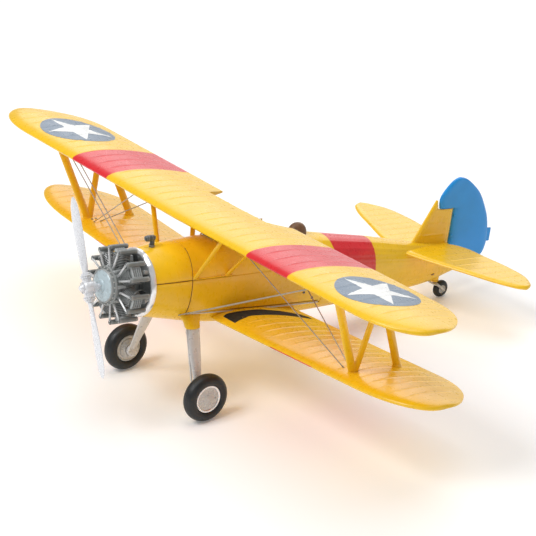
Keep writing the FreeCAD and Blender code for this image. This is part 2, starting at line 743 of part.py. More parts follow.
def write_tail(outer, plane):
    """Tailplane, fin, rudder, tab and hinge pin."""
    write("horizontal_tail", plane)
    write("fin", fin(outer, plane))
    blade = rudder()
    write("rudder", blade)
    write("rudder_tab", rudder_tab(blade))
    write("rudder_hinge_pin", hinge_pin())


# ---------------------------------------------------------------- landing gear

def leg_section(point, chord, thickness):
    """Streamlined horizontal section of a leg."""
    ellipse = Part.Ellipse(point, chord / 2.0, thickness / 2.0)
    wire = Part.Wire([ellipse.toShape()])
    wire.rotate(point, V(0, 0, 1), 90)
    return wire


def leg_x(z):
    """Sideways place of the slanting leg at a height."""
    return 9.6 + 7.9 * (z + 11.0) / (WHEEL_Z + 11.0)


def gear_leg():
    """Port leg, tapering down to a boss with the stub axle."""
    rows = ((-12.2, 4.3, 2.3, 32.2), (-19.0, 4.05, 2.0, 31.85), (-25.0, 3.0, 1.7, WHEEL_Y), (-29.6, 2.4, 1.6, WHEEL_Y))
    sections = [leg_section(V(leg_x(z), y, z), chord, thickness) for z, chord, thickness, y in rows]
    leg = Part.makeLoft(sections, True, False)
    boss = rod(V(16.4, WHEEL_Y, WHEEL_Z), V(18.0, WHEEL_Y, WHEEL_Z), 1.75)
    axle = rod(V(17.0, WHEEL_Y, WHEEL_Z), V(21.2, WHEEL_Y, WHEEL_Z), AXLE_RADIUS)
    return joined([leg, boss, axle])


def gear_fairing(outer, lower):
    """Port collar between the belly and the leg."""
    sections = [leg_section(V(7.9, 32.2, -9.25), 7.4, 3.0),
                leg_section(V(8.8, 32.1, -10.3), 5.8, 3.0),
                leg_section(V(leg_x(-12.2), 32.0, -12.2), 5.2, 2.9)]
    return Part.makeLoft(sections, True, True).cut(outer).cut(lower)


def brake_rod(leg, fairing, outer):
    """Thin rod ahead of the port leg."""
    tube = rod(V(9.55, 29.85, -11.2), V(16.75, 30.0, -30.0), 0.28)
    return tube.cut(leg).cut(fairing).cut(outer)


def tyre():
    """Port main tyre, round in section."""
    ellipse = Part.Ellipse(V(WHEEL_X, 5.45, 0), TYRE_WIDTH / 2.0, TYRE_RADIUS - 5.45)
    ring = Part.Face(Part.Wire([ellipse.toShape()])).revolve(V(0, 0, 0), V(1, 0, 0), 360)
    ring = ring.cut(rod(V(WHEEL_X - 5, 0, 0), V(WHEEL_X + 5, 0, 0), HUB_RADIUS))
    ring.translate(V(0, WHEEL_Y, WHEEL_Z))
    return ring


def wheel_hub():
    """Port hub: dished disc with a rim, closed outside and bored from inside."""
    profile = [
        (0.0, 22.3), (1.2, 22.3), (3.5, 22.1), (3.8, 22.4), (HUB_RADIUS, 22.4), (HUB_RADIUS, 19.0),
        (1.6, 19.0), (1.6, 18.6), (AXLE_BORE_RADIUS, 18.6), (AXLE_BORE_RADIUS, 21.4), (0.0, 21.4),
    ]
    points = [V(x, radius, 0) for radius, x in profile]
    face = Part.Face(Part.makePolygon(points + [points[0]]))
    hub = face.revolve(V(0, 0, 0), V(1, 0, 0), 360)
    hub.translate(V(0, WHEEL_Y, WHEEL_Z))
    return hub


def write_main_gear(outer, lower):
    """Both main legs and wheels."""
    leg = gear_leg()
    fairing = gear_fairing(outer, lower)
    pieces = (("gear_leg", leg), ("gear_fairing", fairing), ("wheel_hub", wheel_hub()), ("tyre", tyre()))
    for node, shape in pieces:
        write(node + "_left", shape)
        write(node + "_right", mirrored(shape))
    rod_port = brake_rod(leg, fairing, outer)
    write("brake_rods", Part.makeCompound([rod_port, mirrored(rod_port)]))


def swivel_housing():
    """Round housing under the tail that the tail wheel turns in, before boring."""
    return rod(V(0, SWIVEL_Y, -11.6), V(0, SWIVEL_Y, -7.4), 1.5)


def tailwheel_fork():
    """Swivel pin, crown and two arms with the axle."""
    pieces = [rod(V(0, SWIVEL_Y, -12.6), V(0, SWIVEL_Y, -8.4), SWIVEL_RADIUS)]
    pieces.append(box(-2.1, 2.1, SWIVEL_Y - 0.9, SWIVEL_Y + 0.8, -12.7, -11.9))
    for x in (-1.75, 1.75):
        pieces.append(rod(V(x, SWIVEL_Y, -12.3), V(x, TAILWHEEL_Y, TAILWHEEL_Z), 0.4))
    pieces.append(rod(V(-2.1, TAILWHEEL_Y, TAILWHEEL_Z), V(2.1, TAILWHEEL_Y, TAILWHEEL_Z), 0.4))
    return joined(pieces)


def write_tail_wheel():
    """Housing, fork, hub and tyre of the tail wheel."""
    housing = swivel_housing().cut(rod(V(0, SWIVEL_Y, -12), V(0, SWIVEL_Y, -8.2), SWIVEL_BORE_RADIUS))
    write("tailwheel_housing", housing)
    write("tailwheel_fork", tailwheel_fork())
    side = TAILWHEEL_WIDTH / 2.0
    centre = V(0, TAILWHEEL_Y, TAILWHEEL_Z)
    hub = rod(centre - V(side, 0, 0), centre + V(side, 0, 0), TAILWHEEL_HUB_RADIUS)
    hub = hub.cut(rod(centre - V(side, 0, 0), centre + V(side, 0, 0), 0.45))
    write("tailwheel_hub", hub)
    band = Part.Ellipse(V(0, 1.75, 0), TAILWHEEL_RADIUS - 1.75, TAILWHEEL_WIDTH / 2.0)
    section = Part.Wire([band.toShape()])
    section.rotate(V(0, 1.75, 0), V(0, 0, 1), 90)
    ring = Part.Face(section).revolve(V(0, 0, 0), V(1, 0, 0), 360)
    ring = ring.cut(rod(V(-5, 0, 0), V(5, 0, 0), TAILWHEEL_HUB_RADIUS))
    ring.translate(centre)
    write("tailwheel_tyre", ring)


os.makedirs("parts", exist_ok=True)
outer = fuselage_body(0.0)
inside = fuselage_body(SKIN)
plane = tailplane()
write_fuselage(outer, inside, plane)
write_cockpits(outer, inside)
write_engine()
write_propeller()
lower = lower_wing(outer)
write_wings(outer, lower)
write_tail(outer, plane)
write_main_gear(outer, lower)
write_tail_wheel()
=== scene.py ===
import json
import math

import bmesh
import bpy
from mathutils import Matrix, Vector
from mathutils.bvhtree import BVHTree


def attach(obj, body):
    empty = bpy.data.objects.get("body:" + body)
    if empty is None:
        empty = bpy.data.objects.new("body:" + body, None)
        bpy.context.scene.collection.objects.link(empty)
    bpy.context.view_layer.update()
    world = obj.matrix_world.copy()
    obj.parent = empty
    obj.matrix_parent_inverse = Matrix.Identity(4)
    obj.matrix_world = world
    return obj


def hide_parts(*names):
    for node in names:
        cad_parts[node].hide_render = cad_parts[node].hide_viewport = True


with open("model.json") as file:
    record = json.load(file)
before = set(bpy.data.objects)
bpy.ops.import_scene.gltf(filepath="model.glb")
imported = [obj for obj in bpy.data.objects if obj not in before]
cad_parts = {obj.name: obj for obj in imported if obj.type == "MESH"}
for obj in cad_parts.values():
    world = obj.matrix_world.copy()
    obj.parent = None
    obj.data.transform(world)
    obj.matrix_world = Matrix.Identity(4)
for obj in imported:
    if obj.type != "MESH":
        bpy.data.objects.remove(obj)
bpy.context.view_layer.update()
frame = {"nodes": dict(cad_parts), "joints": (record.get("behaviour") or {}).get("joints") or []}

# Pieces are drawn in the flight frame of the aircraft, in millimetres: x to port, y aft, z up, with the
# origin at the propeller hub. LEVEL turns that into the row frame, where the model stands on its wheels.
JOINTS = {joint["name"]: joint for joint in frame["joints"]}
HUB = Vector(JOINTS["propeller_spin"]["pos_m"])
THRUST = Vector(JOINTS["propeller_spin"]["axis"])
NOSE_UP = math.asin(THRUST.z)
STAND = Matrix.Translation(HUB) @ Matrix.Rotation(-NOSE_UP, 4, "X")
LEVEL = STAND @ Matrix.Scale(0.001, 4)
UNLEVEL = LEVEL.inverted()


# ---------------------------------------------------------------- camera, floor and light

CAMERA_AZIMUTH = math.radians(49.73)
CAMERA_ELEVATION = math.radians(18.57)
CAMERA_ROLL = math.radians(8.46)
CAMERA_DISTANCE = 729.9
CAMERA_TARGET = Vector((-1.27, 66.79, -1.01))
SENSOR_MM = 36.0
LENS_MM = 161.6
LIGHT_TARGET = Vector((0, 0, 0.03))
WORLD_STRENGTH = 0.32
FLOOR_REACH = 3.0
FLOOR_SHADE = 0.93
FLOOR_GLOW = 0.12


def make_camera():
    """Long lens, from ahead and to port, looking slightly down."""
    back = Vector((
        math.sin(CAMERA_AZIMUTH) * math.cos(CAMERA_ELEVATION),
        -math.cos(CAMERA_AZIMUTH) * math.cos(CAMERA_ELEVATION),
        math.sin(CAMERA_ELEVATION),
    ))
    right = Vector((0, 0, 1)).cross(back).normalized()
    up = back.cross(right)
    roll = Matrix.Rotation(CAMERA_ROLL, 4, back)
    right = roll @ right
    up = roll @ up
    turn = Matrix((right, up, back)).transposed().to_4x4()
    place = Matrix.Translation((CAMERA_TARGET + back * CAMERA_DISTANCE) * 0.001)
    data = bpy.data.cameras.new("camera")
    data.lens = LENS_MM
    data.sensor_width = SENSOR_MM
    data.clip_start = 0.01
    camera = bpy.data.objects.new("camera", data)
    bpy.context.scene.collection.objects.link(camera)
    camera.matrix_world = STAND @ place @ turn
    bpy.context.scene.camera = camera


def area_light(name, place, size, watts):
    """A square softbox aimed at the middle of the model."""
    data = bpy.data.lights.new(name, "AREA")
    data.shape = "SQUARE"
    data.size = size
    data.energy = watts
    lamp = bpy.data.objects.new(name, data)
    bpy.context.scene.collection.objects.link(lamp)
    lamp.location = place
    lamp.rotation_euler = (LIGHT_TARGET - Vector(place)).to_track_quat("-Z", "Y").to_euler()


def make_studio():
    """Pale floor, white surroundings and soft boxes."""
    world = bpy.data.worlds.new("studio")
    bpy.context.scene.world = world
    world.use_nodes = True
    background = world.node_tree.nodes["Background"]
    background.inputs["Color"].default_value = (1.0, 1.0, 1.0, 1)
    background.inputs["Strength"].default_value = WORLD_STRENGTH
    mesh = bpy.data.meshes.new("floor")
    corners = [(x * FLOOR_REACH, y * FLOOR_REACH, 0) for x, y in ((-1, -1), (1, -1), (1, 1), (-1, 1))]
    mesh.from_pydata(corners, [], [(0, 1, 2, 3)])
    floor = bpy.data.objects.new("floor", mesh)
    bpy.context.scene.collection.objects.link(floor)
    material = bpy.data.materials.new("floor")
    material.use_nodes = True
    shader = material.node_tree.nodes["Principled BSDF"]
    shader.inputs["Base Color"].default_value = (FLOOR_SHADE, FLOOR_SHADE, FLOOR_SHADE, 1)
    shader.inputs["Roughness"].default_value = 0.9
    shader.inputs["Emission Color"].default_value = (1.0, 1.0, 1.0, 1)
    shader.inputs["Emission Strength"].default_value = FLOOR_GLOW
    mesh.materials.append(material)
    area_light("key", (-0.05, -0.75, 0.95), 0.5, 7.0)
    area_light("back", (-0.75, 0.95, 0.7), 1.2, 6.5)
    area_light("top", (0.0, 0.1, 1.15), 0.8, 4.6)
    bpy.context.scene.view_settings.view_transform = "Standard"


# ---------------------------------------------------------------- materials

class Finish:
    """A node material whose textures are laid out in flight-frame millimetres."""

    def __init__(self, name):
        self.material = bpy.data.materials.new(name)
        self.material.use_nodes = True
        self.tree = self.material.node_tree
        self.shader = self.tree.nodes["Principled BSDF"]
        place = self.node("ShaderNodeTexCoord")
        level = self.node("ShaderNodeMapping")
        level.inputs["Location"].default_value = UNLEVEL.to_translation()
        level.inputs["Rotation"].default_value = (NOSE_UP, 0, 0)
        level.inputs["Scale"].default_value = (1000, 1000, 1000)
        self.join(place.outputs["Object"], level.inputs["Vector"])
        self.level = level.outputs["Vector"]
        split = self.node("ShaderNodeSeparateXYZ")
        self.join(self.level, split.inputs[0])
        self.x = self.math("ABSOLUTE", split.outputs["X"])
        self.y = split.outputs["Y"]
        self.z = split.outputs["Z"]

    def node(self, kind):
        return self.tree.nodes.new(kind)

    def join(self, source, target):
        self.tree.links.new(source, target)

    def put(self, value, socket):
        """Link a socket, or set a number."""
        if isinstance(value, (int, float)):
            socket.default_value = value
        else:
            self.join(value, socket)

    def math(self, kind, first, second=0.0, third=0.0):
        node = self.node("ShaderNodeMath")
        node.operation = kind
        for value, socket in zip((first, second, third), node.inputs):
            self.put(value, socket)
        return node.outputs[0]

    def noise(self, scale, detail):
        """Noise with features about 1/scale millimetres across."""
        node = self.node("ShaderNodeTexNoise")
        node.inputs["Scale"].default_value = scale
        node.inputs["Detail"].default_value = detail
        self.join(self.level, node.inputs["Vector"])
        return node.outputs["Fac"]

    def span(self, value, low, high, new_low, new_high):
        """Map a range of numbers onto another, clamped."""
        node = self.node("ShaderNodeMapRange")
        self.join(value, node.inputs["Value"])
        for socket, number in zip(("From Min", "From Max", "To Min", "To Max"),
                                  (low, high, new_low, new_high)):
            node.inputs[socket].default_value = number
        return node.outputs["Result"]

    def mix(self, amount, first, second):
        """Blend two colours, each a colour or a link."""
        node = self.node("ShaderNodeMix")
        node.data_type = "RGBA"
        self.put(amount, node.inputs[0])
        for value, socket in ((first, node.inputs[6]), (second, node.inputs[7])):
            if isinstance(value, tuple):
                socket.default_value = value + (1.0,)
            else:
                self.join(value, socket)
        return node.outputs[2]

    def edges(self, low, high):
        """One along outward edges, or in creases where low is above high, and nought elsewhere."""
        node = self.node("ShaderNodeNewGeometry")
        return self.span(node.outputs["Pointiness"], low, high, 0.0, 1.0)

    def end(self, colour, rough, rough_vary, bump_scale, bump_depth, **constants):
        """Wire up colour, roughness and bump, and set constant values on the shader's own sockets."""
        self.join(colour, self.shader.inputs["Base Color"])
        self.join(self.span(self.noise(0.7, 2.0), 0.3, 0.7, rough - rough_vary, rough + rough_vary),
                  self.shader.inputs["Roughness"])
        if bump_depth:
            bump = self.node("ShaderNodeBump")
            bump.inputs["Strength"].default_value = 1.0
            bump.inputs["Distance"].default_value = bump_depth * 0.001
            self.join(self.noise(bump_scale, 2.0), bump.inputs["Height"])
            self.join(bump.outputs["Normal"], self.shader.inputs["Normal"])
        for key, value in constants.items():
            self.shader.inputs[key.replace("_", " ")].default_value = value
        return self.material


def tone(colour, factor):
    """A lighter or darker version of a colour."""
    return tuple(min(1.0, channel * factor) for channel in colour)


def mottled(finish, colour, vary, scale=0.25):
    """Colour with soft uneven patches."""
    return finish.mix(finish.span(finish.noise(scale, 3.0), 0.3, 0.7, 0.0, 1.0),
                      tone(colour, 1.0 - vary), tone(colour, 1.0 + vary))


YELLOW = (0.93, 0.56, 0.012)
RED = (0.72, 0.022, 0.03)
BLUE = (0.01, 0.30, 0.78)
SLATE = (0.13, 0.19, 0.27)
WHITE = (0.86, 0.86, 0.84)
CREASE = (0.47, 0.40)
OUTER_EDGE = (0.54, 0.62)
RIB_LINE_WIDTH = 0.28
UPPER_RIB_X = 39.3
UPPER_RIB_PITCH = 4.95
LOWER_RIB_X = 11.2
LOWER_RIB_PITCH = 4.3
TAIL_RIB_X = 6.2
TAIL_RIB_PITCH = 4.4
UPPER_RIBS = (UPPER_RIB_X - UPPER_RIB_PITCH * 7, UPPER_RIB_PITCH)
LOWER_RIBS = (LOWER_RIB_X, LOWER_RIB_PITCH)
TAIL_RIBS = (TAIL_RIB_X, TAIL_RIB_PITCH)


def enamel(name, colour, bands=(), lines=None, rough=0.3, dust_and_crease_shade=0.35):
    """Satin enamel. bands: (colour, [(a, b, c, d), ...]) painted where a|x| + by + cz > d for every entry.
    lines: (first rib, pitch, depth) of the shadow lines beside the ribs."""
    finish = Finish(name)
    paint = mottled(finish, colour, 0.035)
    for band, limits in bands:
        inside = None
        for across, along, up, least in limits:
            value = finish.math("MULTIPLY", finish.x, across)
            value = finish.math("MULTIPLY_ADD", finish.y, along, value)
            value = finish.math("MULTIPLY_ADD", finish.z, up, value)
            test = finish.math("GREATER_THAN", value, least)
            inside = test if inside is None else finish.math("MULTIPLY", inside, test)
        paint = finish.mix(inside, paint, mottled(finish, band, 0.05))
    if lines:
        start, pitch, depth = lines
        shifted = finish.math("ADD", finish.x, pitch / 2.0 - start)
        part = finish.math("PINGPONG", shifted, pitch / 2.0)
        near = finish.span(part, pitch / 2.0 - RIB_LINE_WIDTH, pitch / 2.0, 0.0, depth)
        paint = finish.mix(near, paint, tone(colour, 0.55))
    dust = finish.span(finish.noise(0.08, 4.0), 0.5, 0.8, 0.0, dust_and_crease_shade * 0.3)
    soiled = finish.mix(dust, paint, tone(colour, 0.72))
    return finish.end(soiled, rough, 0.05, 0.0, 0.0, Coat_Weight=0.2, Coat_Roughness=0.2, IOR=1.45)


def metal(name, colour, rough, metallic, dark=(0.03, 0.03, 0.03), dust_and_crease_shade=0.6, edge_highlight=None, vary=0.08,
          bump=0.008):
    """Painted or bare metal, with painted shade darkening its creases and a painted highlight lightening its
    outward edges.
    """
    finish = Finish(name)
    base = mottled(finish, colour, vary, 0.8)
    # Painted shade: creases are darkened towards the dark colour.
    if dust_and_crease_shade:
        base = finish.mix(finish.math("MULTIPLY", finish.edges(*CREASE), dust_and_crease_shade), base, dark)
    # Painted highlight: outward edges are lightened towards a paler colour.
    if edge_highlight:
        base = finish.mix(finish.math("MULTIPLY", finish.edges(*OUTER_EDGE), 0.8), base, edge_highlight)
    return finish.end(base, rough, 0.08, 4.0, bump, Metallic=metallic)


def rubber(name):
    """Black tyre rubber with a dusty bloom."""
    finish = Finish(name)
    base = mottled(finish, (0.009, 0.011, 0.012), 0.3, 1.2)
    dust = finish.span(finish.noise(0.35, 3.0), 0.5, 0.8, 0.0, 0.12)
    return finish.end(finish.mix(dust, base, (0.06, 0.06, 0.058)), 0.42, 0.08, 9.0, 0.012)


def pane(name):
    """Clear moulded plastic with faint scuffs."""
    finish = Finish(name)
    tint = mottled(finish, (0.9, 0.94, 0.94), 0.03, 0.5)
    return finish.end(tint, 0.08, 0.05, 2.0, 0.002, Transmission_Weight=0.92, IOR=1.45)


MATERIALS = {
    "yellow": enamel("yellow_enamel", YELLOW),
    "upper": enamel("upper_wing_enamel", YELLOW, lines=(*UPPER_RIBS, 0.20)),
    "lower": enamel("lower_wing_enamel", YELLOW, lines=(*LOWER_RIBS, 0.20)),
    "tail": enamel("tail_enamel", YELLOW, lines=(*TAIL_RIBS, 0.16)),
    "fuselage": enamel("fuselage_enamel", YELLOW, bands=[
        (RED, [(0, 1.0, 0.2, 86.9), (0, -1.0, -0.05, -103.4)]),
    ]),
    "red": enamel("red_enamel", RED, lines=(*UPPER_RIBS, 0.28), dust_and_crease_shade=0.2),
    "blue": enamel("rudder_blue_enamel", BLUE, rough=0.36, dust_and_crease_shade=0.15),
    "slate": enamel("roundel_slate", SLATE, lines=(*UPPER_RIBS, 0.35), dust_and_crease_shade=0.1),
    "white": enamel("roundel_white", WHITE, dust_and_crease_shade=0.05),
    "engine": metal("engine_grey", (0.21, 0.225, 0.22), 0.4, 0.3, edge_highlight=(0.62, 0.64, 0.64)),
    "engine_dark": metal("engine_dark", (0.085, 0.092, 0.09), 0.5, 0.2, edge_highlight=(0.5, 0.52, 0.52)),
    "pushrod": metal("pushrod_silver", (0.36, 0.38, 0.38), 0.32, 0.4, edge_highlight=(0.8, 0.8, 0.8)),
    "cover": metal("cover_blue_grey", (0.50, 0.60, 0.64), 0.3, 0.1, dust_and_crease_shade=0.0, vary=0.03, bump=0.0),
    "gunmetal": metal("gunmetal", (0.10, 0.11, 0.11), 0.35, 0.4, edge_highlight=(0.4, 0.4, 0.4)),
    "silver": metal("propeller_silver", (0.78, 0.79, 0.82), 0.28, 0.25, dust_and_crease_shade=0.0, vary=0.02, bump=0.0),
    "leg": metal("leg_silver", (0.66, 0.645, 0.63), 0.34, 0.2, dust_and_crease_shade=0.0, vary=0.03, bump=0.0),
    "hub": metal("hub_silver", (0.56, 0.55, 0.53), 0.3, 0.3, dust_and_crease_shade=0.0, vary=0.03, bump=0.0),
    "bright": metal("bright_ring", (0.9, 0.91, 0.93), 0.14, 0.6, dust_and_crease_shade=0.0, vary=0.02, bump=0.0),
    "seam": metal("seam_shadow", (0.20, 0.075, 0.004), 0.6, 0.0, dust_and_crease_shade=0.0, vary=0.2, bump=0.0),
    "tyre": rubber("tyre_rubber"),
    "wire": metal("steel_wire", (0.38, 0.35, 0.28), 0.35, 0.5, vary=0.05),
    "pane": pane("clear_pane"),
    "cockpit": metal("cockpit_grey", (0.11, 0.13, 0.12), 0.6, 0.0, dust_and_crease_shade=0.7, edge_highlight=(0.3, 0.32, 0.3)),
    "dial": metal("dial_black", (0.012, 0.012, 0.013), 0.25, 0.0, edge_highlight=(0.5, 0.5, 0.48)),
    "trim": metal("brown_trim", (0.16, 0.075, 0.03), 0.5, 0.0, dark=(0.03, 0.012, 0.005),
                  edge_highlight=(0.36, 0.2, 0.1),
                  vary=0.2, bump=0.03),
    "walkway": metal("walkway_black", (0.014, 0.014, 0.013), 0.75, 0.0, edge_highlight=(0.08, 0.08, 0.075), vary=0.3,
                     bump=0.04),
}

CAD_FINISH = {
    "yellow": ["interplane_struts", "cabane_", "gear_fairing", "belly_pan", "rudder_hinge_pin"],
    "fuselage": ["fuselage_", "nose_cowl", "fin", "horizontal_tail"],
    "upper": ["upper_wing"],
    "lower": ["lower_wing"],
    "blue": ["rudder"],
    "engine": ["cylinder_", "crankcase"],
    "pushrod": ["pushrod_"],
    "cover": ["crankcase_cover"],
    "gunmetal": ["breather", "tailwheel_"],
    "silver": ["propeller_"],
    "leg": ["gear_leg", "brake_rods"],
    "hub": ["wheel_hub"],
    "bright": ["cowl_ring"],
    "tyre": ["tyre_", "tailwheel_tyre"],
    "wire": ["rigging"],
    "pane": ["windscreen"],
    "cockpit": ["cockpit_tub", "seat_"],
    "trim": ["headrest", "cockpit_rim_"],
}


def paint_frame():
    """Give every CAD piece its finish; the longest matching name wins."""
    for node, thing in frame["nodes"].items():
        best = ""
        chosen = "yellow"
        for finish, starts in CAD_FINISH.items():
            for start in starts:
                if node.startswith(start) and len(start) > len(best):
                    best = start
                    chosen = finish
        thing.data.materials.clear()
        thing.data.materials.append(MATERIALS[chosen])


make_camera()
make_studio()
paint_frame()


# ---------------------------------------------------------------- mesh tools

class Shape:
    """Collects closed shapes, in flight-frame millimetres, that make one piece."""

    def __init__(self):
        self.verts = []
        self.faces = []
        self.marks = []

    def add(self, verts, faces, mark=0, turn=None):
        start = len(self.verts)
        self.verts += [turn @ Vector(v) if turn else Vector(v) for v in verts]
        self.faces += [tuple(start + i for i in face) for face in faces]
        self.marks += mark if isinstance(mark, list) else [mark] * len(faces)

    def rings(self, rings, mark=0, turn=None, loop=False, closed=True, caps=True):
        """Skin between rings of equal length; loop joins the last ring to the first."""
        count = len(rings[0])
        verts = [point for ring in rings for point in ring]
        faces = []
        marks = []
        for row in range(len(rings) if loop else len(rings) - 1):
            here = row * count
            there = (row + 1) % len(rings) * count
            for step in range(count if closed else count - 1):
                after = (step + 1) % count
                faces.append((here + step, here + after, there + after, there + step))
                marks.append(mark(row, step) if callable(mark) else mark)
        if caps and not loop:
            last = (len(rings) - 1) * count
            faces += [tuple(reversed(range(count))), tuple(range(last, last + count))]
            marks += [marks[0], marks[-1]]
        self.add(verts, faces, marks, turn)

    def revolve(self, profile, turn=None, steps=48, mark=0, closed=False):
        """Turn an outline of (radius, height) about z."""
        rings = []
        for step in range(steps):
            angle = 2.0 * math.pi * step / steps
            rings.append([(r * math.cos(angle), r * math.sin(angle), h) for r, h in profile])
        self.rings(rings, mark, turn, loop=True, closed=closed)

    def tube(self, points, radii, steps=12, mark=0, turn=None, squash=1.0):
        """Round bar along points; radii is one number or one per point."""
        points = [Vector(point) for point in points]
        radii = radii if isinstance(radii, (list, tuple)) else [radii] * len(points)
        side = None
        rings = []
        for index, point in enumerate(points):
            ahead = points[min(index + 1, len(points) - 1)] - points[max(index - 1, 0)]
            ahead.normalize()
            if side is None:
                side = ahead.orthogonal().normalized()
            side = (side - ahead * side.dot(ahead)).normalized()
            other = ahead.cross(side)
            rings.append([point + radii[index] * (side * math.cos(a) + other * math.sin(a) * squash)
                          for a in (2.0 * math.pi * step / steps for step in range(steps))])
        self.rings(rings, mark, turn)

    def bolt(self, place, axis, radius, height, mark=0, turn=None):
        """Small six-sided head with a chamfer."""
        axis = Vector(axis).normalized()
        place = Vector(place)
        points = [place, place + axis * height * 0.7, place + axis * height]
        self.tube(points, [radius, radius, radius * 0.72], 6, mark, turn)

    def block(self, low, high, bevel, mark=0, turn=None):
        """Block with bevelled edges."""
        rings = []
        (x0, y0, z0), (x1, y1, z1) = low, high
        for z, inset in ((z0, bevel), (z0 + bevel, 0.0), (z1 - bevel, 0.0), (z1, bevel)):
            a, b, c, d = x0 + inset, x1 - inset, y0 + inset, y1 - inset
            k = bevel
            rings.append([(a + k, c, z), (b - k, c, z), (b, c + k, z), (b, d - k, z),
                          (b - k, d, z), (a + k, d, z), (a, d - k, z), (a, c + k, z)])
        self.rings(rings, mark, turn)

    def build(self, name, materials, body="airframe", slot=None, stands_for=(), sharp=35.0):
        """Make the piece, ride it on its body and hide the CAD parts it stands for."""
        mesh = bpy.data.meshes.new(name)
        mesh.from_pydata([LEVEL @ vert for vert in self.verts], [], self.faces)
        mesh.polygons.foreach_set("material_index", self.marks)
        work = bmesh.new()
        work.from_mesh(mesh)
        bmesh.ops.remove_doubles(work, verts=work.verts, dist=2e-6)
        bmesh.ops.dissolve_degenerate(work, edges=work.edges, dist=1e-7)
        bmesh.ops.recalc_face_normals(work, faces=work.faces)
        work.to_mesh(mesh)
        work.free()
        for key in materials:
            mesh.materials.append(MATERIALS[key])
        mesh.polygons.foreach_set("use_smooth", [True] * len(mesh.polygons))
        mesh.set_sharp_from_angle(angle=math.radians(sharp))
        piece = bpy.data.objects.new(name, mesh)
        bpy.context.scene.collection.objects.link(piece)
        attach(piece, body)
        if stands_for:
            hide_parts(*stands_for)
        return piece


def mirror(shape):
    """The same shape on the other side of the model."""
    other = Shape()
    flip = Matrix.Scale(-1, 4, (1, 0, 0))
    other.add(shape.verts, shape.faces, list(shape.marks), flip)
    return other


def about(axis, angle_deg):
    """Turn about an axis through the propeller hub."""
    return Matrix.Rotation(math.radians(angle_deg), 4, axis)


def along_axis(centre, axis):
    """Place a z-axis shape at a point, looking along an axis."""
    return Matrix.Translation(Vector(centre)) @ Vector(axis).to_track_quat("Z", "Y").to_matrix().to_4x4()


def smooth_curve(table):
    """Cubic through (key, values...) rows; returns a function of the key."""
    keys = [row[0] for row in table]
    rows = [row[1:] for row in table]
    slopes = []
    for i in range(len(keys)):
        a, b = max(i - 1, 0), min(i + 1, len(keys) - 1)
        slopes.append([(rows[b][k] - rows[a][k]) / (keys[b] - keys[a]) for k in range(len(rows[0]))])

    def value(key):
        key = min(max(key, keys[0]), keys[-1])
        i = 0
        while i < len(keys) - 2 and key > keys[i + 1]:
            i += 1
        gap = keys[i + 1] - keys[i]
        t = (key - keys[i]) / gap
        h00 = 2 * t ** 3 - 3 * t ** 2 + 1
        h10 = t ** 3 - 2 * t ** 2 + t
        h01 = 1 - h00
        h11 = t ** 3 - t ** 2
        return [h00 * p + h10 * gap * m + h01 * q + h11 * gap * n
                for p, q, m, n in zip(rows[i], rows[i + 1], slopes[i], slopes[i + 1])]
    return value


def bump(distance, width):
    """Smooth hump, one at nought distance."""
    return math.exp(-(distance / width) ** 2)


# ---------------------------------------------------------------- wings

RIB_WIDTH = 0.30
SAG = 0.13
SECTION_STEPS = 26
LEAF_DEPTH = 0.14
CIRCLE_STEPS = 120
STAR_INNER = 0.382
STAR_EDGE_STEPS = 12
SIDES = (("left", 1), ("right", -1))


class Wing:
    """Half a wing: its outline, section and rib relief."""

    def __init__(self, half_span, tip, leading, root_z, chord, dihedral_deg, rib_start, rib_pitch,
                 notch=None):
        self.half_span = half_span
        self.tip = tip
        self.leading = leading
        self.root_z = root_z
        self.chord = chord
        self.rise = math.tan(math.radians(dihedral_deg))
        self.rib_start = rib_start
        self.rib_pitch = rib_pitch
        self.notch = notch

    def width(self, x):
        part = max(0.0, (x - self.half_span + self.tip) / self.tip)
        return max(0.1, (1.0 - min(part, 1.0) ** 2.1) ** (1.0 / 2.1))

    def relief(self, x, s):
        """How far the skin sinks between the ribs."""
        place = (x - self.rib_start) / self.rib_pitch
        off = abs(place - round(place)) * self.rib_pitch
        fade = min(1.0, max(0.0, (s - 0.11) / 0.05)) * min(1.0, max(0.0, (0.97 - s) / 0.06))
        fade *= min(1.0, max(0.0, (self.half_span - 4.0 - x) / 6.0))
        return SAG * fade * (1.0 - bump(off, RIB_WIDTH))

    def point(self, x, s, side):
        width = self.width(x)
        chord = self.chord * width
        leading = self.leading + 0.36 * self.chord * (1.0 - width)
        thickness = 0.115 * self.chord * width ** 0.7
        shape = 0.2969 * math.sqrt(s) - 0.1260 * s - 0.3516 * s ** 2 + 0.2843 * s ** 3 - 0.1036 * s ** 4
        half = 5.0 * shape * thickness + s * min(0.5, 0.3 * thickness) / 2.0
        half = max(0.03, half - self.relief(x, s))
        camber = 0.08 * chord * s * (1.0 - s)
        z = self.root_z + x * self.rise - 0.8 * width * s + camber + side * half
        return Vector((x, leading + chord * s, z))

    def stations(self, root, extra):
        """Places across the span: close together at each rib and round the tip."""
        places = set(extra) | {root, self.half_span}
        rib = self.rib_start
        while rib < self.half_span - 4.0:
            for step in (-0.46, -0.3, -0.16, -0.1, -0.06, -0.03, 0.0, 0.03, 0.06, 0.1, 0.16, 0.3, 0.46):
                places.add(rib + step * self.rib_pitch)
            rib += self.rib_pitch
        for step in range(30):
            places.add(self.half_span - self.tip * (1.0 - math.sin(math.pi / 2.0 * step / 29)))
        kept = []
        for x in sorted(place for place in places if root <= place <= self.half_span):
            if not kept or x - kept[-1] > 0.06 or x in extra:
                kept.append(x)
        return kept

    def ring(self, x):
        """Section outline from the trailing edge over the top, round the nose and back underneath."""
        end = 1.0
        if self.notch:
            front_y, front_x, back_x, slope = self.notch
            if x < back_x:
                end = (front_y + max(0.0, x - front_x) * slope - self.leading) / self.chord
        points = []
        for step in range(-SECTION_STEPS, SECTION_STEPS + 1):
            s = end * (1.0 - math.cos(math.pi * abs(step) / SECTION_STEPS)) / 2.0
            points.append(self.point(x, s, 1.0 if step < 0 else -1.0))
        return points


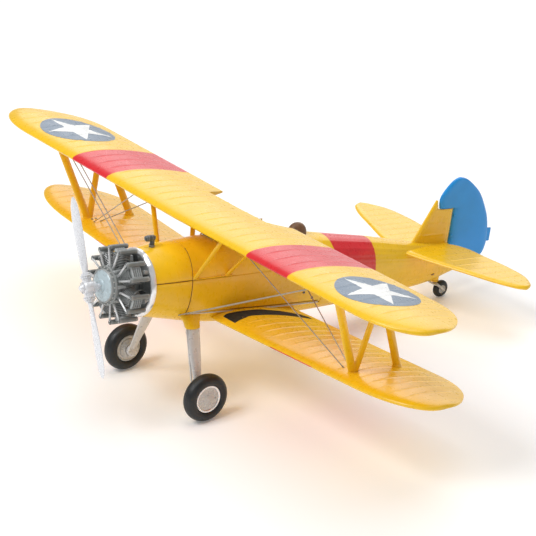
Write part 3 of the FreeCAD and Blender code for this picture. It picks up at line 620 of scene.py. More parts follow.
def build_wing(name, wing, root, band, key, stands_for, side, band_below_only=False):
    """Skin of one half wing, or of both when side is "both"; band is where the red runs across the span."""
    edges = [*band, *(wing.notch[1:3] if wing.notch else ())]
    places = wing.stations(root, edges)
    if side == "both":
        places = [-x for x in reversed(places) if x > 0.0] + places
    rings = []
    for x in places:
        ring = wing.ring(abs(x))
        if x < 0:
            ring = [Vector((x, point.y, point.z)) for point in ring]
        rings.append(ring)
    nose = len(rings[0]) // 2

    def mark(row, step):
        middle = abs(places[row] + places[row + 1]) / 2.0
        inside = band[0] < middle < band[1]
        return 1 if inside and not (band_below_only and step < nose) else 0
    shape = Shape()
    shape.rings(rings, mark)
    if side == "right":
        shape = mirror(shape)
    return shape.build(name, [key, "red"], slot="yellow_enamel", stands_for=stands_for)


UPPER = Wing(102.15, 21.0, 27.26, 19.2, 31.1, 0.6, UPPER_RIB_X - UPPER_RIB_PITCH * 8, UPPER_RIB_PITCH,
             (50.7, 14.5, 17.66, 2.415))
LOWER = Wing(97.0, 23.8, 40.2, -11.3, 31.6, 3.7, LOWER_RIB_X, LOWER_RIB_PITCH)


def wing_skin(piece):
    """Ray-casting tree of a piece, in flight-frame millimetres."""
    verts = [UNLEVEL @ vert.co for vert in piece.data.vertices]
    return BVHTree.FromPolygons(verts, [tuple(face.vertices) for face in piece.data.polygons])


def decal(name, skin, centre, outline, rings, lift, key, slot):
    """Thin paint-like leaf that follows the top of a wing; outline is a list of (x, y) about the centre."""
    count = len(outline)
    tops = []
    for ring in range(1, rings + 1):
        for x, y in outline:
            tops.append((centre[0] + x * ring / rings, centre[1] + y * ring / rings))

    def height(x, y):
        hit = skin.ray_cast(Vector((x, y, 80.0)), Vector((0, 0, -1)))[0]
        return hit.z
    shape = Shape()
    verts = [(centre[0], centre[1], height(*centre) + lift)]
    verts += [(x, y, height(x, y) + lift) for x, y in tops]
    rim = len(verts)
    verts += [(x, y, z - LEAF_DEPTH) for x, y, z in verts[rim - count:rim]]
    faces = []
    for step in range(count):
        after = (step + 1) % count
        faces.append((0, 1 + step, 1 + after))
        for ring in range(rings - 1):
            a = 1 + ring * count
            b = a + count
            faces.append((a + step, b + step, b + after, a + after))
        faces.append((rim - count + step, rim + step, rim + after, rim - count + after))
    faces.append(tuple(rim + step for step in range(count)))
    shape.add(verts, faces)
    return shape.build(name, [key], slot=slot, sharp=60.0)


def circle(radius):
    angles = [2 * math.pi * i / CIRCLE_STEPS for i in range(CIRCLE_STEPS)]
    return [(radius * math.cos(angle), radius * math.sin(angle)) for angle in angles]


def star(radius, turn_deg):
    """Five-pointed star outline."""
    corners = []
    for i in range(10):
        angle = math.radians(turn_deg + 36.0 * i)
        reach = radius * (STAR_INNER if i % 2 else 1.0)
        corners.append((reach * math.cos(angle), reach * math.sin(angle)))
    points = []
    for i in range(10):
        (ax, ay), (bx, by) = corners[i], corners[(i + 1) % 10]
        points += [(ax + (bx - ax) * k / STAR_EDGE_STEPS, ay + (by - ay) * k / STAR_EDGE_STEPS)
                   for k in range(STAR_EDGE_STEPS)]
    return points


def make_wings():
    upper = build_wing("upper_wing_skin", UPPER, 0.0, (35.2, 53.9), "upper", ["upper_wing"], "both")
    skin = wing_skin(upper)
    lowers = []
    for side, _ in SIDES:
        lowers.append(build_wing("lower_wing_skin_" + side, LOWER, 5.6, (36.0, 55.0), "lower",
                                 ["lower_wing_" + side], side, band_below_only=True))
    for side, sign in SIDES:
        centre = (74.5 * sign, 42.5)
        decal("roundel_disc_" + side, skin, centre, circle(12.0), 44, 0.06, "slate", "cover_blue_grey")
        decal("roundel_star_" + side, skin, centre, star(11.0, -90.0), 40, 0.11, "white", "bright_ring")
    for (side, sign), piece in zip(SIDES, lowers):
        tree = wing_skin(piece)
        inner = [(11.2, 41.9), (10.5, 43.4), (10.4, 46.0), (10.7, 50.0), (11.3, 56.0), (12.4, 62.0),
                 (14.6, 67.0), (17.0, 69.6)]
        outer = [(19.4, 69.4), (18.6, 66.0), (17.4, 61.0), (16.4, 55.0), (15.7, 49.0), (15.9, 45.4),
                 (16.8, 43.0), (17.4, 41.6)]
        loop = inner + outer
        dense = []
        for i, (ax, ay) in enumerate(loop):
            bx, by = loop[(i + 1) % len(loop)]
            dense += [(ax + (bx - ax) * k / 8, ay + (by - ay) * k / 8) for k in range(8)]
        centre = (14.1, 54.0)
        outline = [((x - centre[0]) * sign, y - centre[1]) for x, y in dense]
        decal("walkway_" + side, tree, (centre[0] * sign, centre[1]), outline, 30, 0.05, "walkway",
              "black_tyre")


make_wings()


# ---------------------------------------------------------------- fuselage

HULL = smooth_curve([
    (16.9, 10.0, 10.0, -10.0), (24.0, 10.0, 10.9, -11.2), (31.0, 9.8, 11.3, -12.5), (40.0, 9.6, 11.8,
            -13.8),
    (52.0, 9.5, 11.9, -14.6), (64.0, 9.3, 11.5, -14.8), (76.0, 8.8, 10.2, -14.6), (90.0, 7.9, 8.1, -14.1),
    (105.0, 6.6, 6.0, -13.4), (120.0, 4.9, 3.3, -12.4), (131.0, 3.2, 1.8, -11.3), (143.4, 1.1, 1.0, -8.4),
])
SEAM_Z = 2.6
SEAM_Y = 30.1
CENTRE_END_Y = 82.0
GROOVE = 0.24
PANEL_THICKNESS = 0.8
TAIL_END_Y = 138.55
RUDDER_Y = 138.73
SCREW = [(0, 0.12), (0.12, 0.1), (0.17, 0.04), (0.17, -0.1), (0, -0.1)]


def section(y):
    half_width, top, bottom = HULL(y)
    square = min(1.0, (y - 16.9) / 22.0)
    return half_width, (top + bottom) / 2.0, (top - bottom) / 2.0, square


def hull(y, angle, inset=0.0):
    """Point on the fuselage skin."""
    half_width, middle, half_height, square = section(y)
    power = 2.0 / (2.0 + (0.35 if math.sin(angle) > 0 else 0.75) * square)
    across, up = math.cos(angle), math.sin(angle)
    x = math.copysign(abs(across) ** power, across)
    z = math.copysign(abs(up) ** power, up)
    return Vector((x * (half_width - inset), y, middle + z * (half_height - inset)))


def seam_angle(y, z):
    """Angle on the port side where the skin is at a height."""
    _, middle, half_height, square = section(y)
    up = (z - middle) / half_height
    power = 2.0 + (0.35 if up > 0 else 0.75) * square
    return math.copysign(math.asin(min(1.0, abs(up) ** (power / 2.0))), up)


def belly_z(y):
    return -8.5 - 2.0 * (y - SEAM_Y) / (CENTRE_END_Y - SEAM_Y)


def stringer(y, angle):
    """Cloth sinks a little between the stringers behind the metal panels."""
    start = min(1.0, max(0.0, (y - 45.6) / 1.0)) * min(1.0, max(0.0, (136.0 - y) / 20.0))
    z = hull(y, angle).z
    _, middle, half_height, _ = section(y)
    level = (z - middle) / half_height * 6.5
    off = abs(level - round(level)) * 1.9
    side = min(1.0, max(0.0, (abs(math.cos(angle)) - 0.25) / 0.2))
    return 0.16 * start * side * (1.0 - bump(off, 0.30))


def edge_rolls(length):
    """Stations from nought to a length in mm, close together at both ends, with how deep each edge rolls."""
    ends = [(0.0, 1.0), (0.1, 0.55), (0.22, 0.12), (0.34, 0.0)]
    count = max(4, int(length / 0.9))
    inner = [(0.34 + (length - 0.68) * step / count, 0.0) for step in range(1, count)]
    return ends + inner + [(length - at, depth) for at, depth in reversed(ends)]


def panel(name, y_low, y_high, low, high, stands_for, relief=None, turned=False, grooves=()):
    """Skin panel with edges rolled inwards, between two angles that may change along the body."""
    rows = edge_rolls(y_high - y_low)
    middle_y = (y_low + y_high) / 2.0
    arc = abs(high(middle_y) - low(middle_y)) * 10.5
    columns = edge_rolls(arc)
    shape = Shape()
    rings = []
    for at_y, deep_y in rows:
        y = y_low + at_y
        outer = []
        inner = []
        for at_a, deep_a in columns:
            angle = low(y) + (high(y) - low(y)) * at_a / arc
            inset = GROOVE * max(deep_y, deep_a) + (relief(y, angle) if relief else 0.0)
            for line in grooves:
                inset += 0.16 * bump(y - line, 0.16)
            outer.append(hull(y, angle, inset))
            inner.append(hull(y, angle, PANEL_THICKNESS))
        rings.append(outer + inner[::-1])
    shape.rings(rings, caps=False)
    count = len(columns)
    total = 2 * count
    for ring, flip in ((rings[0], False), (rings[-1], True)):
        faces = []
        for step in range(count - 1):
            quad = (step, step + 1, total - 2 - step, total - 1 - step)
            faces.append(quad[::-1] if flip else quad)
        shape.add(ring, faces)
    if turned:
        shape = mirror(shape)
    shape.build(name, ["fuselage"], slot="yellow_enamel", stands_for=stands_for, sharp=60.0)


def on_hull(y, z, out=0.0, side=1):
    """Point on the fuselage side at a height."""
    point = hull(y, seam_angle(y, z), -out)
    return Vector((point.x * side, point.y, point.z))


def out_of_hull(y, z, side=1):
    """Direction straight out of the skin."""
    angle = seam_angle(y, z)
    along = hull(y + 0.2, angle) - hull(y - 0.2, angle)
    around = hull(y, angle + 0.02) - hull(y, angle - 0.02)
    normal = along.cross(around).normalized()
    if normal.x < 0:
        normal = -normal
    return Vector((normal.x * side, normal.y, normal.z))


def make_fuselage():
    def seam(y):
        return seam_angle(y, SEAM_Z)

    def belly(y):
        return seam_angle(y, belly_z(y))

    panel("nose_panel_upper", 16.9, SEAM_Y, seam, lambda y: math.pi - seam(y), ["nose_cowl_upper"])
    panel("nose_panel_lower", 16.9, SEAM_Y, lambda y: math.pi - seam(y), lambda y: 2.0 * math.pi + seam(y),
          ["nose_cowl_lower"])
    for side, turned in (("left", False), ("right", True)):
        panel("side_panel_" + side, SEAM_Y, CENTRE_END_Y, belly, seam, ["fuselage_side_" + side],
              relief=stringer, turned=turned, grooves=(45.3,))
    shape = Shape()
    rings = []
    count = 120
    for index, (at, _) in enumerate(edge_rolls(TAIL_END_Y - CENTRE_END_Y)):
        y = CENTRE_END_Y + at
        deep = (1.0, 0.55, 0.12)[index] if index < 3 else 0.0
        rings.append([hull(y, a, GROOVE * 0.5 * deep + stringer(y, a))
                      for a in (2.0 * math.pi * step / count for step in range(count))])
    shape.rings(rings)
    rings = []
    for y in (138.0, 138.6, 139.5, 141.0, 142.3, 143.4):
        top = seam_angle(y, -4.95)
        rings.append([hull(y, top + (-math.pi - 2.0 * top) * step / 40) for step in range(41)])
    shape.rings(rings)
    shape.build("tail_cone_skin", ["fuselage"], slot="yellow_enamel", stands_for=["fuselage_tail"],
                sharp=50.0)

    details = Shape()
    for side in (1, -1):
        door = []
        corners = [(38.5, 3.3, 0.8), (44.0, 3.3, 0.8), (44.0, 9.2, 1.1), (38.9, 9.2, 1.1)]
        for i, (y, z, r) in enumerate(corners):
            for step in range(7):
                angle = math.radians(180 + 90 * i + 15 * step)
                cy = y + (r if i in (0, 3) else -r)
                cz = z + (r if i in (0, 1) else -r)
                door.append(on_hull(cy + r * math.cos(angle), cz + r * math.sin(angle), 0.02, side))
        door = [door[i].lerp(door[(i + 1) % len(door)], k / 4) for i in range(len(door)) for k in range(4)]
        rings = []
        for i, point in enumerate(door):
            ahead = (door[(i + 1) % len(door)] - door[i - 1]).normalized()
            out = out_of_hull(point.y, point.z, side)
            across = ahead.cross(out).normalized()
            rings.append([point + 0.16 * (across * math.cos(a) + out * math.sin(a) * 0.6)
                          for a in (2 * math.pi * k / 8 for k in range(8))])
        details.rings(rings, loop=True)
        rail = [on_hull(y, 2.75, 0.12, side) for y in [31.0 + 0.5 * k for k in range(28)]]
        details.tube(rail, 0.22, 8)
        strip = [on_hull(y, belly_z(y) + 0.25, 0.05, side) for y in [30.4 + 0.9 * k for k in range(57)]]
        details.tube(strip, 0.22, 8, 1)
    details.build("fuselage_mouldings", ["yellow", "leg"], slot="yellow_enamel")

    joints = Shape()
    for side in (1, -1):
        joints.tube([on_hull(y, SEAM_Z, -0.14, side) for y in [17.1 + 0.9 * k for k in range(31)]], 0.15, 8)
        joints.tube([on_hull(SEAM_Y, z, -0.14, side) for z in [-9.0 + 0.7 * k for k in range(29)]], 0.15, 8)
        joints.tube([on_hull(y, belly_z(y) + 0.75, -0.07,
                             side) for y in [30.4 + 0.9 * k for k in range(57)]], 0.11, 8)
    joints.build("panel_joint_lines", ["seam"], slot="brown_trim")

    spots = Shape()
    for side in (1, -1):
        for y, z, radius in ((28.2, -8.74, 0.3), (30.0, -8.85, 0.3), (73.8, -6.0, 0.42),
                             (77.8, -8.3, 0.45)):
            turn = along_axis(on_hull(y, z, -0.05, side), out_of_hull(y, z, side))
            spots.revolve([(0, 0.02), (radius * 0.55, 0.03), (radius * 0.7, 0.14), (radius * 0.9, 0.16),
                           (radius, 0.08), (radius, -0.2), (0, -0.2)], turn, 16)
    spots.build("fuselage_eyelets", ["gunmetal"], slot="gunmetal")
    handles = Shape()
    for side in (1, -1):
        ends = [on_hull(y, -8.05 + 0.1 * (y - 131.9), -0.02, side) for y in (131.1, 131.5, 131.9, 132.3,
                132.7)]
        handles.tube(ends, [0.1, 0.26, 0.3, 0.26, 0.1], 10)
    handles.build("lift_handles", ["trim"], slot="brown_trim")
    screws = Shape()
    for side in (1, -1):
        for k in range(7):
            place = on_hull(18.2 + 1.75 * k, 1.9, -0.06, side)
            screws.revolve(SCREW, along_axis(place, out_of_hull(place.y, 1.9, side)), 10)
    for k in range(14):
        angle = 2 * math.pi * (k + 0.5) / 14
        place = hull(29.4, angle, 0.06)
        out = Vector((math.cos(angle), 0, math.sin(angle)))
        screws.revolve(SCREW, along_axis(place, out), 10)
    screws.build("cowl_screws", ["yellow"], slot="yellow_enamel")


# ---------------------------------------------------------------- tail surfaces

ROW_STEP = 0.8


def plate(name, rows, half_thickness, body, slot, key, stands_for, lines, turn):
    """Lens-edged plate. rows: (across, front, back); lines are rib places across."""
    rings = []
    steps = 22
    for across, front, back in rows:
        length = back - front
        sink = 0.0
        for line in lines:
            sink = max(sink, bump(across - line, 0.28))
        ring = []
        for step in range(-steps, steps):
            s = (1.0 - math.cos(math.pi * abs(step) / steps)) / 2.0
            side = 1.0 if step < 0 else -1.0
            reach = min(1.0, min(s, 1.0 - s) * length / 2.2)
            level = half_thickness * math.sqrt(max(0.0, 1.0 - (1.0 - reach) ** 2))
            dip = 0.10 * (1.0 - sink) * min(1.0,
                    max(0.0, min(s, 1.0 - s) * length / 2.0 - 0.6)) if lines else 0.0
            ring.append((across, front + length * s, side * max(0.02, level - dip)))
        rings.append(ring)
    shape = Shape()
    shape.rings(rings, turn=turn)
    shape.build(name, [key], body=body, slot=slot, stands_for=stands_for, sharp=40.0)


def rows_between(curve_front, curve_back, low, high, lines):
    """Rows close together at each rib and at both ends."""
    places = {low, high}
    step = low
    while step < high:
        places.add(step)
        step += ROW_STEP
    for line in lines:
        for off in (-0.5, -0.3, -0.15, 0.0, 0.15, 0.3, 0.5):
            if low < line + off < high:
                places.add(line + off)
    for k in range(1, 10):
        places.add(high - (high - low) * 0.08 * (1.0 - math.cos(math.pi / 2 * k / 10)))
    kept = []
    for place in sorted(places):
        if not kept or place - kept[-1] > 0.05:
            kept.append(place)
    return [(place, curve_front(place), curve_back(place)) for place in kept]


def make_tail():
    front = smooth_curve([(0, 116.3), (12.0, 120.3), (24.0, 125.1), (33.0, 128.7), (39.2, 132.3),
                          (40.6, 134.2),
                          (41.05, 135.8)])
    back = smooth_curve([(1.7, 138.55), (4.0, 140.6), (7.6, 141.9), (14.0, 142.3), (25.0, 143.0),
                         (33.5, 142.1),
                         (38.9, 139.2), (40.5, 137.4), (41.05, 135.9)])
    ribs = [TAIL_RIB_X + TAIL_RIB_PITCH * k for k in range(8)]
    port = rows_between(lambda x: front(x)[0], lambda x: TAIL_END_Y if x < 1.7 else back(x)[0], 0.0, 41.03,
                        ribs)
    whole = [(-x, a, b) for x, a, b in reversed(port) if x > 0] + port
    plate("tailplane_skin", whole, 0.8, "airframe", "yellow_enamel", "tail", ["horizontal_tail"],
          ribs + [-rib for rib in ribs], Matrix.Translation((0, 0, 0.75)))

    upright = Matrix(((0, 0, 1, 0), (0, 1, 0, 0), (1, 0, 0, 0), (0, 0, 0, 1)))
    lead = smooth_curve([(-0.5, 121.2), (4.0, 123.8), (8.0, 126.15), (12.0, 128.45), (15.9, 130.7)])
    rows = [(z, lead(z)[0], TAIL_END_Y) for z in [-0.5 + 0.25 * k for k in range(54)] + [12.95]]
    rows += [(z, lead(z)[0], 132.25 - (z - 12.95) * 0.26) for z in (12.96, 13.5, 14.2, 15.0, 15.7, 16.0)]
    plate("fin_skin", rows, 0.75, "airframe", "yellow_enamel", "yellow", ["fin"], [4.6, 8.8], upright)

    horn = smooth_curve([(13.2, 132.7), (14.6, 132.35), (16.6, 132.35), (18.2, 133.1), (19.7, 134.3),
                         (21.0, 135.5),
                         (22.2, 136.9), (22.9, 138.3), (23.18, 139.7)])
    edge = smooth_curve([(-4.6, 152.5), (-4.0, 154.4), (-2.0, 155.5), (1.0, 155.9), (5.0, 155.4),
                         (9.0, 154.3),
                         (13.5, 152.0), (17.3, 149.4), (20.0, 146.4), (22.1, 143.3), (22.9, 141.4), (23.18,
                                 139.9)])
    low = [-4.6 + 0.3 * k for k in range(60)]
    rows = [(z, RUDDER_Y, edge(z)[0]) for z in low if z < 13.15] + [(13.19, RUDDER_Y, edge(13.19)[0])]
    high = [13.2 + (23.18 - 13.2) * math.sin(math.pi / 2 * k / 30) for k in range(31)]
    rows += [(z, horn(z)[0], max(edge(z)[0], horn(z)[0] + 0.15)) for z in high]
    plate("rudder_skin", rows, 0.75, "rudder", "rudder_blue", "blue", ["rudder"], [], upright)
    tab = Shape()
    tab.block((-0.3, 153.2, 0.25), (0.3, 157.05, 4.8), 0.18)
    tab.build("rudder_tab_plate", ["blue"], "rudder", "rudder_blue", ["rudder_tab"])
    hinges = Shape()
    for z in (-3.0, 3.6, 10.4):
        hinges.tube([(0, 138.95, z), (0, 139.9, z)], 0.82, 16, squash=0.8)
    hinges.build("rudder_hinge_straps", ["blue"], "rudder", "rudder_blue")


make_fuselage()
make_tail()


# ---------------------------------------------------------------- engine

CYLINDER_Y = 10.65
ROCKER_R = 10.65
ROCKER_X = 2.36


def make_engine():
    thrust = Matrix.Rotation(math.radians(-90), 4, "X")
    case = Shape()
    case.revolve([(0.96, 5.72), (5.2, 5.72), (5.6, 5.78), (5.8, 5.9), (5.8, 6.35), (5.6, 6.5), (5.2, 6.55),
                  (5.0, 6.9),
                  (5.25, 7.4), (5.3, 8.4), (5.3, 12.2), (5.15, 12.7), (4.95, 13.0), (5.05, 13.8), (4.8,
                          14.3),
                  (4.4, 15.3), (4.4, 16.9), (0.96, 16.9)], thrust, 96, closed=True)
    case.revolve([(0.96, 16.9), (8.7, 16.9), (8.7, 17.75), (0.96, 17.75)], thrust, 72, mark=1, closed=True)
    for k in range(21):
        case.bolt((0, 5.76, 5.36), (0, -1, 0), 0.19, 0.36, 2, about("Y", 360.0 / 21 * (k + 0.5)))
    for k in range(7):
        spin = about("Y", 360.0 / 7 * k)
        between = about("Y", 360.0 / 7 * (k + 0.5))
        case.revolve([(0, 5.6), (2.05, 5.6), (2.2, 5.45), (2.5, 5.4), (2.5, 5.0), (0, 5.0)],
                     spin @ Matrix.Translation((0, CYLINDER_Y, 0)), 28)
        case.tube([(0, 13.9, 4.5), (0, 15.2, 5.2), (0, 15.7, 6.8), (0, 15.2, 8.8), (0, 13.0, 9.9)],
                  [0.75, 0.75, 0.72, 0.7, 0.7], 16, 1, spin)
        case.block((-0.5, 6.6, 4.5), (0.5, 9.6, 5.75), 0.2, 0, between)
        case.tube([(0.0, 6.7, 5.0), (0.0, 7.8, 5.5), (0, 9.0, 5.7)], [0.5, 0.5, 0.4], 12, 0, between)
    case.build("crankcase_casting", ["engine", "engine_dark", "hub"], slot="engine_grey",
               stands_for=["crankcase"])

    cover = Shape()
    cover.revolve([(0.96, 3.92), (1.75, 3.9), (1.95, 4.02), (2.1, 4.38), (2.7, 4.44), (3.4, 4.52),
                   (4.05, 4.7),
                   (4.45, 4.9), (4.7, 5.15), (4.8, 5.4), (4.8, 5.7), (0.96, 5.7)], thrust, 96, closed=True)
    cover.revolve([(4.5, 5.3), (4.62, 4.98), (4.85, 4.96), (5.0, 5.3), (5.0, 5.7), (4.6, 5.7)], thrust, 96,
                  mark=1,
                  closed=True)
    for k in range(14):
        cover.bolt((0, 5.0, 4.33), (0, -1, 0.3), 0.13, 0.24, 1, about("Y", 360.0 / 14 * k))
    for k in range(6):
        cover.bolt((0, 4.02, 1.5), (0, -1, 0), 0.18, 0.28, 1, about("Y", 60 * k))
    cover.build("gear_case_cover", ["cover", "engine"], slot="cover_blue_grey",
                stands_for=["crankcase_cover"])

    rods = Shape()
    front = CYLINDER_Y - 3.25
    for k in range(7):
        spin = about("Y", 360.0 / 7 * k)
        one = Shape()
        outline = [(0, 4.85), (1.95, 4.85)]
        for fin in range(9):
            base = 5.35 + 0.49 * fin
            reach = 2.52 - 0.03 * max(0, fin - 5)
            outline += [(1.98, base), (reach, base + 0.04), (reach, base + 0.18), (1.98, base + 0.22)]
        outline += [(1.95, 9.75), (0, 9.75)]
        # Painted highlight: the outer rim of every fin takes the lighter pushrod silver (mark 2).
        one.revolve(outline, Matrix.Translation((0, CYLINDER_Y, 0)), 36,
                    mark=lambda row, step: 2 if 2 < step < 38 and step % 4 == 3 else 0)
        one.block((-2.05, CYLINDER_Y - 1.65, 9.45), (2.05, CYLINDER_Y + 1.65, 10.2), 0.2)
        for fin in range(5):
            y = CYLINDER_Y - 1.6 + 0.7 * fin
            one.block((-1.75, y, 9.8), (1.75, y + 0.26, 10.62), 0.08)
        for side in (-1, 1):
            x = ROCKER_X * side
            one.tube([(x, front - 0.02, ROCKER_R - 0.04), (x, front + 0.1, ROCKER_R - 0.01),
                      (x, front + 1.1, ROCKER_R),
                      (x, front + 5.4, ROCKER_R), (x, front + 6.35, ROCKER_R), (x, front + 6.5, ROCKER_R)],
                     [0.55, 0.73, 0.74, 0.74, 0.71, 0.5], 20, 0)
            one.revolve([(0, 0.0), (0.6, 0.0), (0.68, 0.1), (0.74, 0.1), (0.74, 0.35), (0, 0.35)],
                        along_axis((x, front - 0.06, ROCKER_R), (0, 1, 0)), 20, mark=1)
            for bolt in range(3):
                angle = math.radians(90 + 120 * bolt)
                one.bolt((x + 0.45 * math.cos(angle), front, ROCKER_R + 0.45 * math.sin(angle)),
                         (0, -1, 0), 0.11, 0.16, 1)
            one.block((min(x, x - 1.1 * side), front + 1.6, 9.75),
                      (max(x, x - 1.1 * side), front + 4.9, 10.5), 0.18)
            rods.tube([(0.7 * side, front + 0.1, 5.0), (ROCKER_X * side, front + 0.1, 10.5)], 0.32, 12, 0,
                      spin)
            for low, high in ((4.95, 5.6), (9.6, 10.2)):
                a = 0.7 + 1.66 * (low - 5.0) / 5.5
                b = 0.7 + 1.66 * (high - 5.0) / 5.5
                rods.tube([(a * side, front + 0.1, low), (b * side, front + 0.1, high)], 0.38, 12, 1, spin)
            one.revolve([(0, 0), (0.3, 0), (0.3, 0.9), (0.18, 0.95), (0.18, 1.4), (0, 1.4)],
                        along_axis((0.8 * side, CYLINDER_Y - 1.5, 9.1), (0.25 * side, -1, 0.1)), 10, mark=1)
        turned = Shape()
        turned.add(one.verts, one.faces, list(one.marks), spin)
        turned.build("cylinder_detail_" + str(k + 1), ["engine", "engine_dark", "pushrod"],
                     slot="engine_grey",
                     stands_for=["cylinder_" + str(k + 1)], sharp=40.0)
    rods.build("pushrod_sleeves", ["pushrod", "engine"], slot="pushrod_silver",
               stands_for=["pushrod_tubes"])

    harness = Shape()
    rings = []
    aft = Vector((0, 1, 0))
    for k in range(72):
        out = Vector((math.cos(math.pi * k / 36), 0, math.sin(math.pi * k / 36)))
        rings.append([out * 4.9 + aft * 15.0 + 0.25 * (out * math.cos(a) + aft * math.sin(a))
                      for a in (2 * math.pi * step / 10 for step in range(10))])
    harness.rings(rings, loop=True)
    for k in range(7):
        spin = about("Y", 360.0 / 7 * k)
        for side in (-1, 1):
            harness.tube([(0.5 * side, 15.0, 5.0), (1.6 * side, 14.7, 6.3), (2.7 * side, 13.0, 7.6),
                          (2.75 * side, 10.6, 8.6), (1.6 * side, 9.2, 9.1)], 0.12, 8, 0, spin)
    harness.build("ignition_harness", ["engine_dark"], slot="engine_grey")

    ring = Shape()
    ring.revolve([(8.62, 16.88), (8.66, 16.2), (8.85, 15.75), (9.15, 15.45), (9.45, 15.33), (9.8, 15.5),
                  (10.08, 15.9),
                  (10.2, 16.4), (10.23, 16.88)], thrust, 128, closed=True)
    ring.revolve([(7.7, 16.86), (7.75, 16.7), (8.2, 16.62), (8.64, 16.3), (8.64, 16.88)], thrust, 128,
                 closed=True)
    ring.build("cowl_lip", ["bright"], slot="bright_ring", stands_for=["cowl_ring"], sharp=50.0)
    pipe = Shape()
    pipe.tube([(0, 20.8, 9.9), (0, 20.8, 11.0), (0, 20.8, 11.1), (0, 20.8, 12.9)], [0.8, 0.8, 0.72, 0.72],
              24)
    pipe.revolve([(0.7, 0), (0.92, 0.02), (0.92, 0.25), (0.7, 0.28)], Matrix.Translation((0, 20.8, 10.85)),
                 24, closed=True)
    pipe.tube([(0, 18.2, 13.1), (0, 18.28, 13.12), (0, 18.6, 13.18), (0, 19.4, 13.2), (0, 20.9, 13.2),
               (0, 21.3, 13.1),
               (0, 21.45, 13.0)], [0.5, 0.74, 0.88, 0.92, 0.92, 0.8, 0.5], 28)
    for y in (19.0, 20.2):
        pipe.revolve([(0.88, 0), (0.95, 0.04), (0.95, 0.16), (0.88, 0.2)],
                     along_axis((0, y, 13.2), (0, 1, 0)), 28, closed=True)
    pipe.build("breather_cap", ["gunmetal"], slot="gunmetal", stands_for=["breather_pipe"])


# ---------------------------------------------------------------- propeller

BLADE_LEAN_DEG = -29.0


def make_propeller():
    lean = about("Y", BLADE_LEAN_DEG)
    table = smooth_curve([
        (1.2, 1.7, 1.7, 30.0), (4.6, 1.7, 1.6, 28.0), (7.0, 2.8, 1.2, 14.0), (10.4, 3.45, 0.9, 9.0),
        (14.7, 4.15, 0.75, 6.0), (19.1, 4.2, 0.6, 4.5), (23.4, 3.5, 0.45, 3.5), (25.1, 2.5, 0.38, 3.0),
        (26.0, 1.4, 0.3, 3.0), (26.43, 0.35, 0.2, 3.0),
    ])
    spans = [4.2 + 0.5 * k for k in range(43)] + [25.5, 25.8, 26.05, 26.2, 26.32, 26.4, 26.43]
    for number, flip in ((1, 0.0), (2, 180.0)):
        rings = []
        for span in sorted(spans):
            chord, thick, pitch = table(span)
            flat = min(1.0, max(0.0, (span - 4.6) / 4.0))
            ring = []
            for step in range(32):
                angle = 2.0 * math.pi * step / 32
                x = chord / 2.0 * math.cos(angle)
                y = thick / 2.0 * math.sin(angle)
                y *= 1.0 - 0.25 * flat * (0.5 + 0.5 * math.cos(angle)) if y < 0 else 1.0 - 0.12 * flat
                c, s = math.cos(math.radians(pitch)), math.sin(math.radians(pitch))
                ring.append((x * c - y * s, x * s + y * c, span))
            rings.append(ring)
        blade = Shape()
        blade.rings(rings, turn=lean @ about("Y", flip))
        blade.build("blade_" + str(number), ["silver"], "propeller", "propeller_silver",
                    ["propeller_blade_" + str(number)], sharp=60.0)
    hub = Shape()
    hub.revolve([(0, -4.2), (1.15, -4.2), (1.35, -4.05), (1.35, 4.05), (1.15, 4.2), (0, 4.2)], lean, 32)
    for sign in (-1, 1):
        for low in (2.62, 3.12):
            profile = [(1.3, low), (1.6, low), (1.7, low + 0.08), (1.7, low + 0.36), (1.6, low + 0.44),
                       (1.3, low + 0.44)]
            hub.revolve([(r, h * sign) for r, h in profile], lean, 32, closed=True)
        for side in (-1, 1):
            hub.tube([(1.55 * side, -0.5, 3.1 * sign), (1.55 * side, 0.5, 3.1 * sign)], 0.22, 6, 1, lean)
            hub.bolt((1.55 * side, -0.45, 3.1 * sign), (0, -1, 0), 0.28, 0.3, 1, lean)
    thrust = lean @ Matrix.Rotation(math.radians(-90), 4, "X")
    hub.revolve([(0, -1.7), (1.55, -1.7), (1.8, -1.5), (1.9, -1.2), (1.9, 1.9), (1.7, 2.2), (0.9, 2.2),
                 (0.9, 7.6),
                 (0, 7.6)], thrust, 40)
    for k in range(8):
        hub.bolt((0, -1.65, 1.45), (0, -1, 0), 0.17, 0.26, 1, about("Y", 45 * k + 22.5 + BLADE_LEAN_DEG))
    hub.build("propeller_hub_casting", ["silver", "hub"], "propeller", "propeller_silver",
              ["propeller_hub"])
    nut = Shape()
    nut.revolve([(0, -3.0), (0.35, -2.95), (0.6, -2.8), (0.85, -2.5), (1.0, -2.2), (1.02, -2.05),
                 (1.1, -2.0),
                 (1.1, -1.72), (0, -1.72)], thrust, 32)
    nut.build("propeller_dome_nut", ["silver"], "propeller", "propeller_silver", ["propeller_nut"])


# ---------------------------------------------------------------- landing gear

WHEEL_Y = 31.72
WHEEL_Z = -29.94
TYRE_X = 20.7
TREAD_FROM_R = 6.6
LEG_CLAMP_Z = -23.6
TAILWHEEL_Y = 139.08
TAILWHEEL_Z = -14.55
SWIVEL_Y = 135.6


def leg_x(z):
    return 9.6 + 7.9 * (z + 11.0) / (WHEEL_Z + 11.0)


def oval(x, y, z, chord, thick, steps=36):
    """Streamlined horizontal section: rounder in front, finer behind."""
    points = []
    for step in range(steps):
        angle = 2.0 * math.pi * step / steps
        along = math.cos(angle)
        across = math.sin(angle) * (1.0 - 0.18 * along)
        points.append((x + thick / 2.0 * across * 0.98, y + chord / 2.0 * along, z))
    return points


